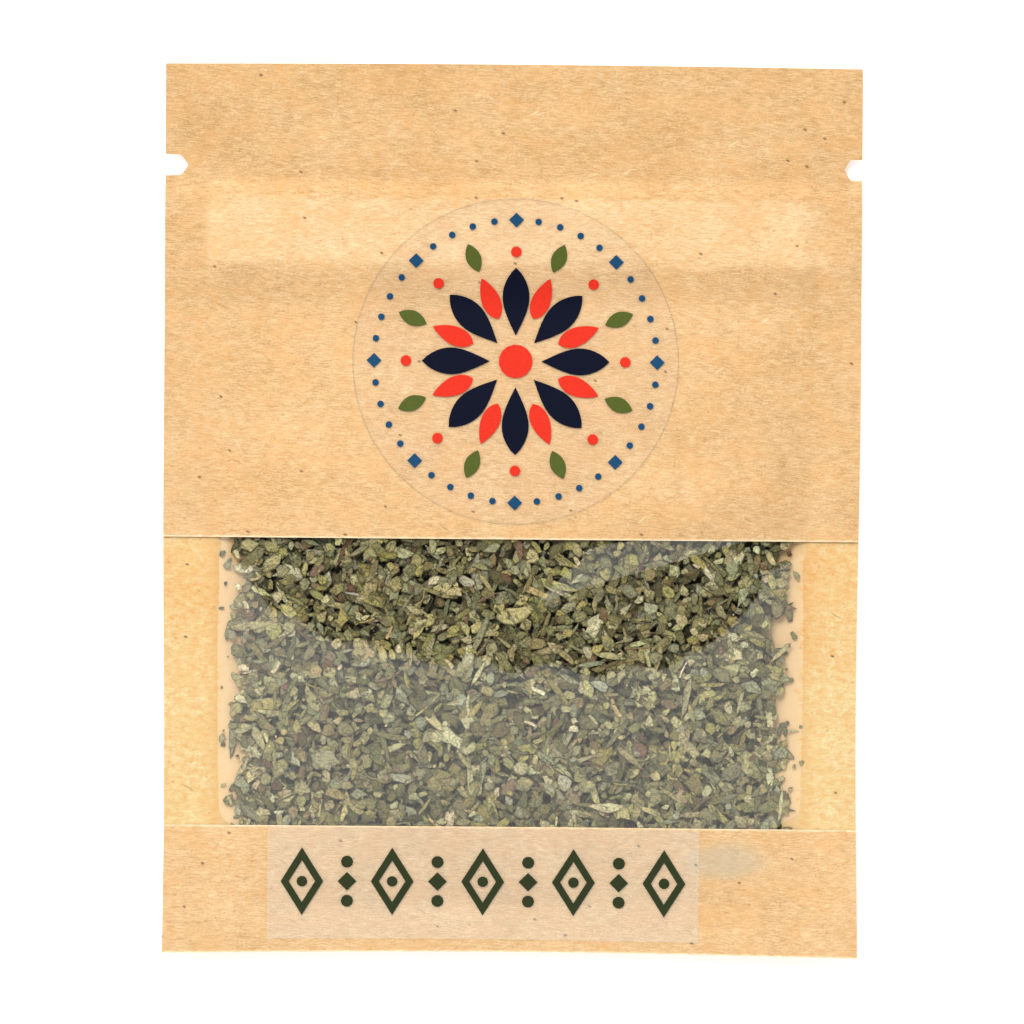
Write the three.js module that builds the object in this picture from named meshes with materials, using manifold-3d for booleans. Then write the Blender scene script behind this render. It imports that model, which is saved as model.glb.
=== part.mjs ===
// A small flat packet of dried coriander leaf, filled and lying on its back.
// Two strips of kraft paper face a clear film, and the bare film between them is the window. A kraft back
// panel, a press-to-close zip, two clear stickers and the leaf inside make up the rest.
// Millimetres: X runs across the packet, Y up its length and Z up from the table that it lies on.
import * as THREE from "three";
import { mergeVertices } from "three/addons/utils/BufferGeometryUtils.js";
import Module from "manifold-3d";

const wasm = await Module();
wasm.setup();

// Outline
const WIDTH = 70;
const LENGTH = 89.5; // a 90 mm pouch, drawn in a little by its filling
const HALF_WIDTH = WIDTH / 2;
const HALF_LENGTH = LENGTH / 2;
const RIGHT_DRAW = 0.3; // how far the filling draws each edge in at its middle
const LEFT_DRAW = 0.05;
const BOTTOM_DRAW = 0.35;
const DRAW_REACH = 38; // how far from the filling's crown the side edges are straight again
const TOP_BOW = 0.2; // how far the top edge's corners fall short of its middle

// Lengths along Y
const LOWER_STRIP = 12.85;
const WINDOW = 28.95;
const WINDOW_LOW = -HALF_LENGTH + LOWER_STRIP;
const WINDOW_HIGH = WINDOW_LOW + WINDOW;
const SIDE_SEAL = 5.3;
const BOTTOM_SEAL = 5;
const POCKET_HALF = HALF_WIDTH - SIDE_SEAL;
const POCKET_LOW = -HALF_LENGTH + BOTTOM_SEAL;
const ZIP_Y = 28;
const ZIP_FLANGE = 5.9;
const ZIP_LOW = ZIP_Y - ZIP_FLANGE / 2;
const ZIP_HIGH = ZIP_Y + ZIP_FLANGE / 2;
const FILL_HIGH = 8; // the leaf ends here, behind the upper strip

// Thicknesses
const BACK_THICK = 0.18; // kraft paper and its inner film, laminated
const FILM_THICK = 0.08;
const PAPER_THICK = 0.1;
const STICKER_THICK = 0.08;
const LAYER_GAP = 0.03; // between two layers that are welded or glued together

// The filling's bulge
const FRONT_BULGE = 3.3;
const BACK_BULGE = 1.5;
const CROWN_Y = -6;
const SHOULDER = 24; // where the bulge turns down to the side seals
const SIDE_POWER = 3.2; // how square it is across the packet,
const FOOT_POWER = 2.3; // from its crown down to the bottom seal
const HEAD_POWER = 1.5; // and up to the zip, where it runs out flat

// How the packet lies: its seams hang over the table, and its corners curl up
const SEAM_RISE = 1.3; // at the foot, up to FOOT_Y
const HEAD_RISE = 1.0; // at the empty head, from HEAD_Y
const FOOT_Y = -12;
const HEAD_Y = 22;
const FLAT_BLEND = 0.2; // how softly the back meets the table
const CURL_X = 6; // where the curl of the corners starts, across and along
const CURL_FOOT_Y = 30;
const CURL_HEAD_Y = 33;
const FOOT_CURL = { left: 0.45, right: 1.0 };
const HEAD_CURL = { left: 0.55, right: 0.25 };

// Zip: two flanges, a rib on the back one and a channel on the front one
const ZIP_FRONT = 0.75; // how far the zip parts the sheets, to the front and to the back
const ZIP_BACK = 0.3;
const ZIP_CRUSH = 0.42; // what is left of that where the side seals crush it
const ZIP_EASE = 1.8; // over which the sheets come together again
const CRUSH_EASE = 1.6;
const FLANGE_THICK = 0.15;
const FLANGE_INSET = 0.1; // from the packet's side edges
const RIB_END = POCKET_HALF - 0.5;

// Tear notches
const NOTCH_Y = 34.6;
const NOTCH_HALF = 1.05;
const NOTCH_STRAIGHT = 0.55; // the share of its depth that has straight sides
const LEFT_NOTCH = 2.3;
const RIGHT_NOTCH = 1.75;

// Stickers
const ROUND_X = 0.3;
const ROUND_Y = 14.9;
const ROUND_RADIUS = 16.4;
const NAME_X = -2.65;
const NAME_Y = -37.75;
const NAME_WIDTH = 43.4;
const NAME_HEIGHT = 11.4;
const NAME_TURN = -0.004;

// Leaf: flakes and stalks larger than life, in rows over the window, on a core that fills the pocket
const FLAKE_PITCH = 4.9;
const ROW_PITCH = FLAKE_PITCH * 0.87;
const FLAKE_THICK = 0.62;
const FLAKE_SIZE = [2.35, 3.05];
const FLAKE_CORNER = [0.72, 1.22]; // how far out a corner lies, as a share of the flake's size
const FLAKE_STRAY = 0.75; // how far a flake strays from its place in the row
const FLAKE_TILT = 0.06;
const FLAKE_DEPTH = [0.16, 0.44]; // under the film
const FLAKE_INSET = 1.9; // from the side seals to the ends of the rows
const STALKS = 12;
const STALK_HALF_LENGTH = [1.9, 3.7];
const STALK_HALF_WIDTH = [0.24, 0.38];
const STALK_DEPTH = 0.12;
const LEAF_CLEAR = 0.1; // between the leaf and the sheets round it
const LEAF_LEAST = 0.02; // the height left to the leaf where the sheets come together
const ROOM_INSET = 0.8; // from the side seals to the room that the flakes have
const ROOM_BELOW = 3; // how far below the window that room reaches
const CORE_DEPTH = 0.75; // how far the core lies under the film
const CORE_INSET = 2.6; // from the side seals
const CORE_FOOT = 3; // from the bottom seal
const CORE_STEP = 9; // the core's own grid

const GRID_STEP = 5;
const LINE_APART = 0.2; // a grid line closer than this to another is left out

const clamp01 = (t) => Math.min(1, Math.max(0, t));

// 0 below lo, 1 above hi and smooth between.
function ramp(lo, hi, value) {
  const t = clamp01((value - lo) / (hi - lo));
  return t * t * (3 - 2 * t);
}

// 1 between lo and hi, and smooth down to 0 over ease on each side.
const band = (lo, hi, ease, value) => ramp(lo - ease, lo, value) * (1 - ramp(hi, hi + ease, value));

// Where a point of the flat sheet lies in plan, once the filling has drawn the edges in.
function plan(x, y) {
  const away = Math.min(1, Math.abs(y - CROWN_Y) / DRAW_REACH);
  const across = Math.cos((Math.PI / 2) * (x / HALF_WIDTH));
  const side = Math.abs(x / HALF_WIDTH) ** 3 * Math.cos((Math.PI / 2) * away) ** 2;
  const end = Math.abs(y / HALF_LENGTH) ** 3;
  return [
    x + (x > 0 ? -RIGHT_DRAW : LEFT_DRAW) * side,
    y + (y > 0 ? -TOP_BOW * (1 - across) : BOTTOM_DRAW * across) * end,
  ];
}

// The seam's height over the table.
function seamHeight(x, y) {
  const level = SEAM_RISE + (HEAD_RISE - SEAM_RISE) * ramp(FOOT_Y, HEAD_Y, y);
  const foot = ramp(CURL_FOOT_Y, HALF_LENGTH, -y);
  const head = ramp(CURL_HEAD_Y, HALF_LENGTH, y);
  const right = ramp(CURL_X, HALF_WIDTH, x);
  const left = ramp(CURL_X, HALF_WIDTH, -x);
  const footCurl = FOOT_CURL.right * right + FOOT_CURL.left * left;
  const headCurl = HEAD_CURL.right * right + HEAD_CURL.left * left;
  return level + foot * footCurl + head * headCurl;
}

// The pillow that the filling makes, from 0 at the seams to 1 at its crown.
function pillow(x, y) {
  const across = 1 - clamp01(Math.abs(x) / POCKET_HALF) ** SIDE_POWER;
  const down = 1 - clamp01((CROWN_Y - y) / (CROWN_Y - POCKET_LOW)) ** FOOT_POWER;
  const up = (1 - clamp01((y - CROWN_Y) / (ZIP_LOW - CROWN_Y)) ** 2) ** HEAD_POWER;
  return across * down * up;
}

// How far the zip parts the sheets, from 0 to 1.
function zipSwell(x, y) {
  const crushed = ramp(RIB_END, RIB_END + CRUSH_EASE, Math.abs(x));
  return band(ZIP_LOW, ZIP_HIGH, ZIP_EASE, y) * (1 + (ZIP_CRUSH - 1) * crushed);
}

// The table holds the back up: below 0 it is flat, and above it is left as it is but for a soft start.
const onTable = (z) => (z <= 0 ? 0 : (z * z) / (z + FLAT_BLEND));

const backUnder = (x, y) =>
  onTable(seamHeight(x, y) - BACK_THICK - BACK_BULGE * pillow(x, y) - ZIP_BACK * zipSwell(x, y));
const backTop = (x, y) => backUnder(x, y) + BACK_THICK;
const seamTop = (x, y) => onTable(seamHeight(x, y) - BACK_THICK) + BACK_THICK;
const filmUnder = (x, y) =>
  seamTop(x, y) + LAYER_GAP + FRONT_BULGE * pillow(x, y) + ZIP_FRONT * zipSwell(x, y);
const filmTop = (x, y) => filmUnder(x, y) + FILM_THICK;
const paperUnder = (x, y) => filmTop(x, y) + LAYER_GAP;
const paperTop = (x, y) => paperUnder(x, y) + PAPER_THICK;
const stickerUnder = (x, y) => paperTop(x, y) + LAYER_GAP;

// Grid lines through every break, no further apart than step.
function lines(breaks, step) {
  const made = [breaks[0]];
  for (let i = 1; i < breaks.length; i++) {
    const from = breaks[i - 1];
    const count = Math.ceil((breaks[i] - from) / step - 1e-6);
    for (let k = 1; k <= count; k++) made.push(from + ((breaks[i] - from) * k) / count);
  }
  return made;
}

const COLUMNS = lines([-HALF_WIDTH, -POCKET_HALF, -SHOULDER, SHOULDER, POCKET_HALF, HALF_WIDTH], GRID_STEP);
const ROWS = lines(
  [
    -HALF_LENGTH,
    POCKET_LOW,
    WINDOW_LOW,
    WINDOW_HIGH,
    ZIP_LOW - ZIP_EASE,
    ZIP_LOW,
    ZIP_HIGH,
    ZIP_HIGH + ZIP_EASE,
    HALF_LENGTH,
  ],
  GRID_STEP,
);

// The lines of a grid that run from lo to hi, with lines of their own at the two ends.
const within = (grid, lo, hi) => [
  lo,
  ...grid.filter((line) => line > lo + LINE_APART && line < hi - LINE_APART),
  hi,
];

// A closed sheet over the grid's cells, between the heights under(x, y) and over(x, y).
function sheet(xs, ys, under, over) {
  const points = [];
  const faces = [];
  const layer = xs.length * ys.length;
  for (const height of [under, over])
    for (const y of ys) for (const x of xs) points.push(...plan(x, y), height(x, y));
  const quad = (a, b, c, d) => faces.push(a, b, c, a, c, d);
  const at = (i, j) => j * xs.length + i;
  for (let j = 0; j + 1 < ys.length; j++)
    for (let i = 0; i + 1 < xs.length; i++) {
      quad(at(i, j), at(i, j + 1), at(i + 1, j + 1), at(i + 1, j));
      faces.push(at(i, j) + layer, at(i + 1, j) + layer, at(i + 1, j + 1) + layer);
      faces.push(at(i, j) + layer, at(i + 1, j + 1) + layer, at(i, j + 1) + layer);
    }
  const wall = (a, b) => quad(a, b, b + layer, a + layer);
  const right = xs.length - 1;
  const last = ys.length - 1;
  for (let i = 0; i < right; i++) {
    wall(at(i, 0), at(i + 1, 0));
    wall(at(i + 1, last), at(i, last));
  }
  for (let j = 0; j < last; j++) {
    wall(at(right, j), at(right, j + 1));
    wall(at(0, j + 1), at(0, j));
  }
  return new THREE.BufferGeometry()
    .setAttribute("position", new THREE.Float32BufferAttribute(points, 3))
    .setIndex(faces);
}

function solidOf(geometry) {
  const bare = geometry.clone();
  bare.deleteAttribute("normal");
  bare.deleteAttribute("uv");
  const merged = mergeVertices(bare, 1e-4);
  return new wasm.Manifold(
    new wasm.Mesh({
      numProp: 3,
      vertProperties: merged.attributes.position.array,
      triVerts: new Uint32Array(merged.index.array),
    }),
  );
}

function geometryOf(solid) {
  const { vertProperties, triVerts } = solid.getMesh();
  return new THREE.BufferGeometry()
    .setAttribute("position", new THREE.BufferAttribute(vertProperties, 3))
    .setIndex(new THREE.BufferAttribute(triVerts, 1));
}

const packet = new THREE.Group();
packet.name = "packet";

function add(name, geometry, look) {
  geometry.computeVertexNormals();
  const mesh = new THREE.Mesh(geometry, new THREE.MeshStandardMaterial(look));
  mesh.name = name;
  packet.add(mesh);
}

const rectangle = (halfX, halfY) =>
  [[-1, -1], [1, -1], [1, 1], [-1, 1]].map(([x, y]) => new THREE.Vector2(x * halfX, y * halfY));

// A prism on an outline in plan, tall enough to go through the whole packet.
function cutter(shape) {
  const depth = 30;
  const prism = new THREE.ExtrudeGeometry(shape, { depth, bevelEnabled: false, curveSegments: 10 });
  return solidOf(prism.translate(0, 0, -depth / 3));
}

// A tear notch in the edge at x = side * HALF_WIDTH: straight sides that close to a point.
function notch(side, depth) {
  const edge = side * (HALF_WIDTH + 1);
  const shoulder = side * (HALF_WIDTH - depth * NOTCH_STRAIGHT);
  const tip = side * (HALF_WIDTH - depth);
  const bend = (shoulder + tip) / 2;
  const shape = new THREE.Shape();
  shape.moveTo(edge, NOTCH_Y - NOTCH_HALF);
  shape.lineTo(shoulder, NOTCH_Y - NOTCH_HALF);
  shape.quadraticCurveTo(bend, NOTCH_Y - NOTCH_HALF, tip, NOTCH_Y);
  shape.quadraticCurveTo(bend, NOTCH_Y + NOTCH_HALF, shoulder, NOTCH_Y + NOTCH_HALF);
  shape.lineTo(edge, NOTCH_Y + NOTCH_HALF);
  return cutter(shape);
}

const KRAFT = { color: 0xf5c894, roughness: 0.85, metalness: 0 };
const CLEAR = { color: 0xffffff, roughness: 0.08, metalness: 0, transparent: true, opacity: 0.18 };
const ZIP_WHITE = { color: 0xf4f4f0, roughness: 0.35, metalness: 0 };
const LEAF_GREEN = { color: 0x7d7850, roughness: 0.8, metalness: 0 };

const notches = notch(-1, LEFT_NOTCH).add(notch(1, RIGHT_NOTCH));
const notched = (geometry) => geometryOf(solidOf(geometry).subtract(notches));

const addBackPanel = () => add("back_panel", notched(sheet(COLUMNS, ROWS, backUnder, backTop)), KRAFT);

const addFrontFilm = () => add("front_film", notched(sheet(COLUMNS, ROWS, filmUnder, filmTop)), CLEAR);

function addPaperStrips() {
  const upper = within(ROWS, WINDOW_HIGH, HALF_LENGTH);
  const lower = within(ROWS, -HALF_LENGTH, WINDOW_LOW);
  add("paper_strip_upper", notched(sheet(COLUMNS, upper, paperUnder, paperTop)), KRAFT);
  add("paper_strip_lower", sheet(COLUMNS, lower, paperUnder, paperTop), KRAFT);
}

// A sticker is cut from a sheet that lies on the paper, so that it follows the zip's step and the bulge.
function addSticker(name, shape, xs, ys) {
  const over = (x, y) => stickerUnder(x, y) + STICKER_THICK;
  add(name, geometryOf(solidOf(sheet(xs, ys, stickerUnder, over)).intersect(cutter(shape))), CLEAR);
}

function addStickers() {
  const reach = ROUND_RADIUS + 1;
  const discXs = within(COLUMNS, ROUND_X - reach, ROUND_X + reach);
  const discYs = within(ROWS, ROUND_Y - reach, ROUND_Y + reach);
  const disc = new THREE.Shape().absarc(ROUND_X, ROUND_Y, ROUND_RADIUS, 0, Math.PI * 2);
  addSticker("round_sticker", disc, discXs, discYs);

  const centre = new THREE.Vector2(NAME_X, NAME_Y);
  const corners = rectangle(NAME_WIDTH / 2, NAME_HEIGHT / 2).map((corner) =>
    corner.rotateAround(new THREE.Vector2(), NAME_TURN).add(centre),
  );
  const nameYs = within(ROWS, -HALF_LENGTH, WINDOW_LOW);
  addSticker("name_sticker", new THREE.Shape(corners), COLUMNS, nameYs);
}

// A rib of the zip: its section, as points of (y, z) from its foot, along the pocket's width.
function rib(section, z) {
  const shape = new THREE.Shape(section.map(([y, up]) => new THREE.Vector2(y, up)));
  const bar = new THREE.ExtrudeGeometry(shape, { depth: 2 * RIB_END, bevelEnabled: false });
  bar.rotateX(Math.PI / 2).rotateZ(Math.PI / 2);
  return solidOf(bar.translate(-RIB_END, ZIP_Y, z));
}

function addZip() {
  const root = 0.05; // how far a rib is sunk into its flange
  const xs = within(COLUMNS, -HALF_WIDTH + FLANGE_INSET, HALF_WIDTH - FLANGE_INSET);
  const ys = within(ROWS, ZIP_LOW, ZIP_HIGH);
  const backLow = (x, y) => backTop(x, y) + LAYER_GAP;
  const backHigh = (x, y) => backLow(x, y) + FLANGE_THICK;
  const frontHigh = (x, y) => filmUnder(x, y) - LAYER_GAP;
  const frontLow = (x, y) => frontHigh(x, y) - FLANGE_THICK;

  const stem = 0.17;
  const head = 0.3;
  const neck = 0.4;
  const barb = neck + 0.02;
  const tip = 0.58;
  const arrow = [[-stem, -root], [stem, -root], [stem, neck], [head, barb], [0, tip]];
  arrow.push([-head, barb], [-stem, neck]);
  const track = solidOf(sheet(xs, ys, backLow, backHigh)).add(rib(arrow, backHigh(0, ZIP_Y)));
  add("zip_track_back", geometryOf(track), ZIP_WHITE);

  const outer = 0.62;
  const inner = 0.4;
  const lip = 0.23;
  const drop = -0.53;
  const lipLow = drop + 0.06;
  const lipHigh = lipLow + 0.12;
  const shelf = lipHigh + 0.08;
  const hook = [[outer, root], [outer, drop], [lip, lipLow], [lip, lipHigh], [inner, shelf], [inner, root]];
  const mirrored = hook.map(([y, up]) => [-y, up]);
  const ceiling = frontLow(0, ZIP_Y);
  const flange = solidOf(sheet(xs, ys, frontLow, frontHigh));
  const channel = flange.add(rib(hook, ceiling)).add(rib(mirrored, ceiling));
  add("zip_track_front", geometryOf(channel), ZIP_WHITE);
}

// Numbers from 0 to 1 that come out the same on every run.
function dice(seed) {
  let state = seed;
  return () => {
    state = (state + 0x6d2b79f5) | 0;
    let t = Math.imul(state ^ (state >>> 15), 1 | state);
    t = (t + Math.imul(t ^ (t >>> 7), 61 | t)) ^ t;
    return ((t ^ (t >>> 14)) >>> 0) / 4294967296;
  };
}

const roll = dice(7);
const between = ([lo, hi]) => lo + (hi - lo) * roll();
const either = (span) => span * (2 * roll() - 1);

// A plate on an outline of points round its middle, laid against the film at (x, y) and sunk by depth.
function laid(outline, x, y, depth, turn, tilt) {
  const shape = new THREE.Shape(outline);
  const plate = new THREE.ExtrudeGeometry(shape, { depth: FLAKE_THICK, bevelEnabled: false });
  const reach = 0.5;
  const slopeX = (filmUnder(x + reach, y) - filmUnder(x - reach, y)) / (2 * reach);
  const slopeY = (filmUnder(x, y + reach) - filmUnder(x, y - reach)) / (2 * reach);
  plate.translate(0, 0, -FLAKE_THICK).rotateZ(turn);
  plate.rotateX(Math.atan(slopeY) + tilt[0]).rotateY(-Math.atan(slopeX) + tilt[1]);
  return solidOf(plate.translate(x, y, filmUnder(x, y) - depth));
}

// A torn scrap of leaf: five or six corners at uneven distances from its middle.
function scrap() {
  const size = between(FLAKE_SIZE);
  const corners = 5 + Math.floor(roll() * 2);
  return Array.from({ length: corners }, (_, k) => {
    const angle = ((k + either(0.27)) / corners) * 2 * Math.PI;
    const reach = size * between(FLAKE_CORNER);
    return new THREE.Vector2(reach * Math.cos(angle), reach * Math.sin(angle));
  });
}

// The room that the leaf has under the film, on grid lines of its own.
function roomUnder(depth, least, xs, ys) {
  const low = (x, y) => backTop(x, y) + LEAF_CLEAR;
  const high = (x, y) => Math.max(low(x, y) + least, filmUnder(x, y) - depth);
  return solidOf(sheet(xs, ys, low, high));
}

// The heap: its core takes up the pocket, and the flakes and stalks stand out of it under the film.
function addLeaf() {
  const coreHalf = POCKET_HALF - CORE_INSET;
  const coreXs = lines([-coreHalf, -SHOULDER, SHOULDER, coreHalf], CORE_STEP);
  const coreYs = lines([POCKET_LOW + CORE_FOOT, WINDOW_LOW, FILL_HIGH], CORE_STEP);
  const core = roomUnder(CORE_DEPTH, 4 * LEAF_LEAST, coreXs, coreYs);

  const roomXs = within(COLUMNS, -POCKET_HALF + ROOM_INSET, POCKET_HALF - ROOM_INSET);
  const roomYs = within(ROWS, WINDOW_LOW - ROOM_BELOW, FILL_HIGH);
  const room = roomUnder(LEAF_CLEAR, LEAF_LEAST, roomXs, roomYs);

  const plates = [];
  const rowEnd = POCKET_HALF - FLAKE_INSET;
  const rows = Math.ceil(WINDOW / ROW_PITCH) + 1;
  for (let row = 0; row <= rows; row++)
    for (let place = -rowEnd + ((row % 2) * FLAKE_PITCH) / 2; place <= rowEnd; place += FLAKE_PITCH) {
      const x = place + either(FLAKE_STRAY);
      const y = WINDOW_LOW - 1 + row * ROW_PITCH + either(FLAKE_STRAY);
      const tilt = [either(FLAKE_TILT), either(FLAKE_TILT)];
      plates.push(laid(scrap(), x, y, between(FLAKE_DEPTH), either(Math.PI), tilt));
    }
  for (let k = 0; k < STALKS; k++) {
    const bar = rectangle(between(STALK_HALF_LENGTH), between(STALK_HALF_WIDTH));
    const x = either(rowEnd - STALK_HALF_LENGTH[1]);
    const y = between([WINDOW_LOW + 1, WINDOW_HIGH - 1]);
    plates.push(laid(bar, x, y, STALK_DEPTH, either(Math.PI), [0, 0]));
  }

  const heap = wasm.Manifold.union(plates).intersect(room).add(core);
  const [whole] = heap.decompose().sort((a, b) => b.volume() - a.volume());
  add("dried_leaf", geometryOf(whole), LEAF_GREEN);
}

addBackPanel();
addFrontFilm();
addPaperStrips();
addStickers();
addZip();
addLeaf();

export default packet;
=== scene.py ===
"""A kraft paper zip packet of dried coriander leaf, laid out as an add-on and run as a script.

The formulas work in millimetres, with X across the packet, Y up its length and Z out of its front.
Meshes, objects and materials are in metres.
"""

import math

import bpy
import numpy as np
from bpy.props import (
    FloatProperty,
    FloatVectorProperty,
    IntProperty,
    PointerProperty,
)
from bpy.types import Operator, Panel, PropertyGroup
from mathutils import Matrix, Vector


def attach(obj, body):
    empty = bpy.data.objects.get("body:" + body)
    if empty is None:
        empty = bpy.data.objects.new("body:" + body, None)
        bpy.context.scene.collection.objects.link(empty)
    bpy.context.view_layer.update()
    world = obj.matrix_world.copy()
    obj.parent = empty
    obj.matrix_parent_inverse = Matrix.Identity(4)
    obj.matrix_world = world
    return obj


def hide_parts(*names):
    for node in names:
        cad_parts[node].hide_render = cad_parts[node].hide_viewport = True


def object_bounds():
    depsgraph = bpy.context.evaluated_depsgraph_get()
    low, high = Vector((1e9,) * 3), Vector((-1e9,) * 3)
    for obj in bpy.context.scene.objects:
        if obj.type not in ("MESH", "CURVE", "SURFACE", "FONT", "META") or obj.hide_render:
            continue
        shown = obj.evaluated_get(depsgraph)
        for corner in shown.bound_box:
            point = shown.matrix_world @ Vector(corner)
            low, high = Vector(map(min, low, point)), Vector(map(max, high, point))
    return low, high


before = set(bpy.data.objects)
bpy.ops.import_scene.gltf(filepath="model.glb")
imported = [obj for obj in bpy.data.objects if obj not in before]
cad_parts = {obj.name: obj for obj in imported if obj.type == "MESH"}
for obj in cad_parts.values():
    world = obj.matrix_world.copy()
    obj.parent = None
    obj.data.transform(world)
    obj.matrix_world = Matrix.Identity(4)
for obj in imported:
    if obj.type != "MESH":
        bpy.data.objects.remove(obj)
CAD_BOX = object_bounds()

bl_info = {
    "name": "Herb Packet",
    "version": (1, 0, 0),
    "blender": (4, 5, 0),
    "location": "3D View > Sidebar > Herb packet",
    "description": "Builds a filled kraft paper zip packet with a film window round its packed frame",
    "category": "Add Mesh",
}

MM = 0.001  # metres in a millimetre

# The outline and the lines across it, in millimetres, as on the solids
HALF_WIDTH = CAD_BOX[1].x / MM
HALF_LENGTH = CAD_BOX[1].y / MM
DRAW = {"right": 0.3, "left": 0.26, "foot": 0.35, "head": 0.2}
DRAW_Y = {"right": -20, "left": -31}  # where the filling draws a side in most
DRAW_REACH = 34  # how far up and down from there it does
SKEW = -0.0018  # the pouch was cut a little out of square
WINDOW_LOW = -HALF_LENGTH + 12.85
WINDOW_HIGH = WINDOW_LOW + 28.95
POCKET_HALF = HALF_WIDTH - 5.3
POCKET_LOW = -HALF_LENGTH + 5
ZIP_Y = 28
ZIP_HALF = 2.95
ZIP_EASE = {"below": 5.0, "above": 2.4}
CRUSH_EASE = 1.6
RIB_END = POCKET_HALF - 0.5
FILL_HIGH = 8
CROWN_Y = -6
SIDE_POWER = 3.2
FOOT_POWER = 2.3
HEAD_POWER = 1.5
FOOT_Y = -12
HEAD_Y = 22
FLAT_BLEND = 0.2
CURL_X = 6
CURL_FOOT_Y = 30
CURL_HEAD_Y = 33
FOOT_CURL = {"left": 0.45, "right": 1.0}
HEAD_CURL = {"left": 0.55, "right": 0.25}
NOTCH_Y = 34.5
NOTCH_HALF = 1.05
NOTCH_STRAIGHT = 0.6
NOTCH_DEPTH = {"left": 2.3, "right": 1.75}
NOTCH_ZONE = 31  # the sheets' grids bend round the notches outside this
ROUND_CENTRE = (0.3, 14.9)
ROUND_RADIUS = 16.4
NAME_CENTRE = (-2.65, -37.75)
NAME_SIZE = (43.4, 11.4)
NAME_TURN = -0.004
STAIN_CENTRE = (21.8, -35.2)
STAIN_REACH = (5.2, 2.4)
FOLD_TIP = (2.6, -9.3)
FOLD_FROM = math.radians(17)
FOLD_TO = math.radians(46)
FOLD_END = math.radians(165)
FOLD_STEEP = 0.09
FOLD_FADE = 9  # how far behind the paper the fold dies out
WAVE_HEIGHT = 0.008
# The dark patches overhead: the middle of the lean along each axis, and the reach down and up that axis
PATCH = {"X": (0.06, 0.68, 0.52), "Y": (-0.003, 0.116, 0.4)}
PATCH_BAR = {"X": (0.03, 0.8, 0.8), "Y": (0.011, 0.001, 0.4)}
DOME_LEAN = (-0.25, 0.5, 0.0)
STICKER_LIFT = 0.03  # more than the glue's gap, so that the sticker's own mesh clears the paper's
EDGE_CELL = 0.25  # the width of a sheet's first cell in from a cut edge
FOLD_COLUMNS = (0.8, 19)  # between these the film's grid has close columns, for the fold
NOTCH_ROWS = 17


def linear(hex_colour):
    """The linear RGB of an sRGB hex colour."""
    levels = [int(hex_colour[i : i + 2], 16) / 255 for i in (1, 3, 5)]
    return tuple(v / 12.92 if v <= 0.04045 else ((v + 0.055) / 1.055) ** 2.4 for v in levels)


def colour(name, description, hex_colour):
    return FloatVectorProperty(
        name=name, description=description, subtype="COLOR", size=3, min=0, max=1, default=linear(hex_colour)
    )


def length(name, description, millimetres):
    return FloatProperty(
        name=name, description=description, default=millimetres * MM, min=0, subtype="DISTANCE", unit="LENGTH"
    )


class PouchShape(PropertyGroup):
    front_bulge: length("Front bulge", "How far the filling lifts the front", 3.3)
    back_bulge: length("Back bulge", "How far the filling presses the back down", 1.5)
    seam_rise: length("Seam rise", "Height of the side seams over the table at the foot", 1.3)
    head_rise: length("Head rise", "Height of the empty head over the table", 1.0)
    zip_front: length("Zip front", "How far the zip lifts the front", 0.75)
    zip_back: length("Zip back", "How far the zip presses the back down", 0.3)
    back_thick: length("Back panel", "Thickness of the laminated back panel", 0.18)
    film_thick: length("Film", "Thickness of the clear film", 0.08)
    paper_thick: length("Paper", "Thickness of the kraft strips", 0.1)
    sticker_thick: length("Sticker", "Thickness of the clear stickers", 0.08)
    layer_gap: length("Layer gap", "Gap between two layers that are glued together", 0.03)
    grid_step: length("Grid step", "Cell size of the sheets' meshes", 0.6)
    fine_step: length("Fine step", "Cell size of the sheets' meshes where they bend tightly", 0.3)


class PaperFinish(PropertyGroup):
    dark: colour("Dark pulp", "Kraft pulp where it is densest", "#B48B55")
    pale: colour("Pale pulp", "Kraft pulp where it is thinnest", "#D3AF80")
    sealed: colour("Sealed", "Laminated kraft paper where the heat seal has wetted it most", "#E4AE69")
    lining: colour("Lining", "Laminated kraft paper where the heat seal has wetted it least", "#EAD19A")
    # Painted light: the lining inside the seals is painted paler, for the glare of the inner film over the
    # air behind it and against the heap's shade.
    painted_pale: colour("Backed", "Laminated kraft paper with air behind its inner film", "#E9C693")
    # Also painted as a highlight along the cut edges.
    edge: colour("Cut edge", "Loose fibres at a cut edge", "#EDD5AE")
    stain: colour("Stain", "A grey patch in the pulp of the lower strip", "#ADA790")
    bark: colour("Bark", "Specks and fibres of bark", "#6E4A26")
    # A single fibre is about 0.04 mm wide, too fine to show, so bundles of fibres are drawn
    fibre_length: length("Fibre length", "Length of the fibre bundles that show", 1.5)
    fibre_width: length("Fibre width", "Width of the fibre bundles that show", 0.13)
    mottle: length("Mottle", "Size of the cloudy patches where the pulp is denser", 6)


class LeafMix(PropertyGroup):
    flakes: IntProperty(name="Flakes", description="Small leaf flakes in each layer", default=2050, min=1)
    leaflets: IntProperty(name="Leaflets", description="Larger bits of leaf in each layer", default=85, min=1)
    layers: IntProperty(name="Layers", description="Layers of flakes under the film", default=4, min=1, max=5)
    crumbs: IntProperty(name="Crumbs", description="Small crumbs between the flakes", default=1000, min=0)
    stalks: IntProperty(name="Stalks", description="Bits of stalk", default=150, min=0)
    strays: IntProperty(name="Strays", description="Crumbs that lie apart beside the heap", default=11, min=0)
    smallest: length("Smallest flake", "Width of the smallest flakes", 0.6)
    largest: length("Largest flake", "Width of the largest small flakes", 2.2)
    flake_thick: length("Flake thickness", "Thickness of a dry leaf flake", 0.07)


class PrintInks(PropertyGroup):
    navy: colour("Navy", "The darkest ink", "#04081A")
    blue: colour("Blue", "The border's ink", "#143C5A")
    red: colour("Red", "The brightest ink", "#BE2A1A")
    green: colour("Green", "The leaf green ink", "#454E1E")
    olive: colour("Olive", "The lower sticker's ink", "#2B311C")


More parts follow.
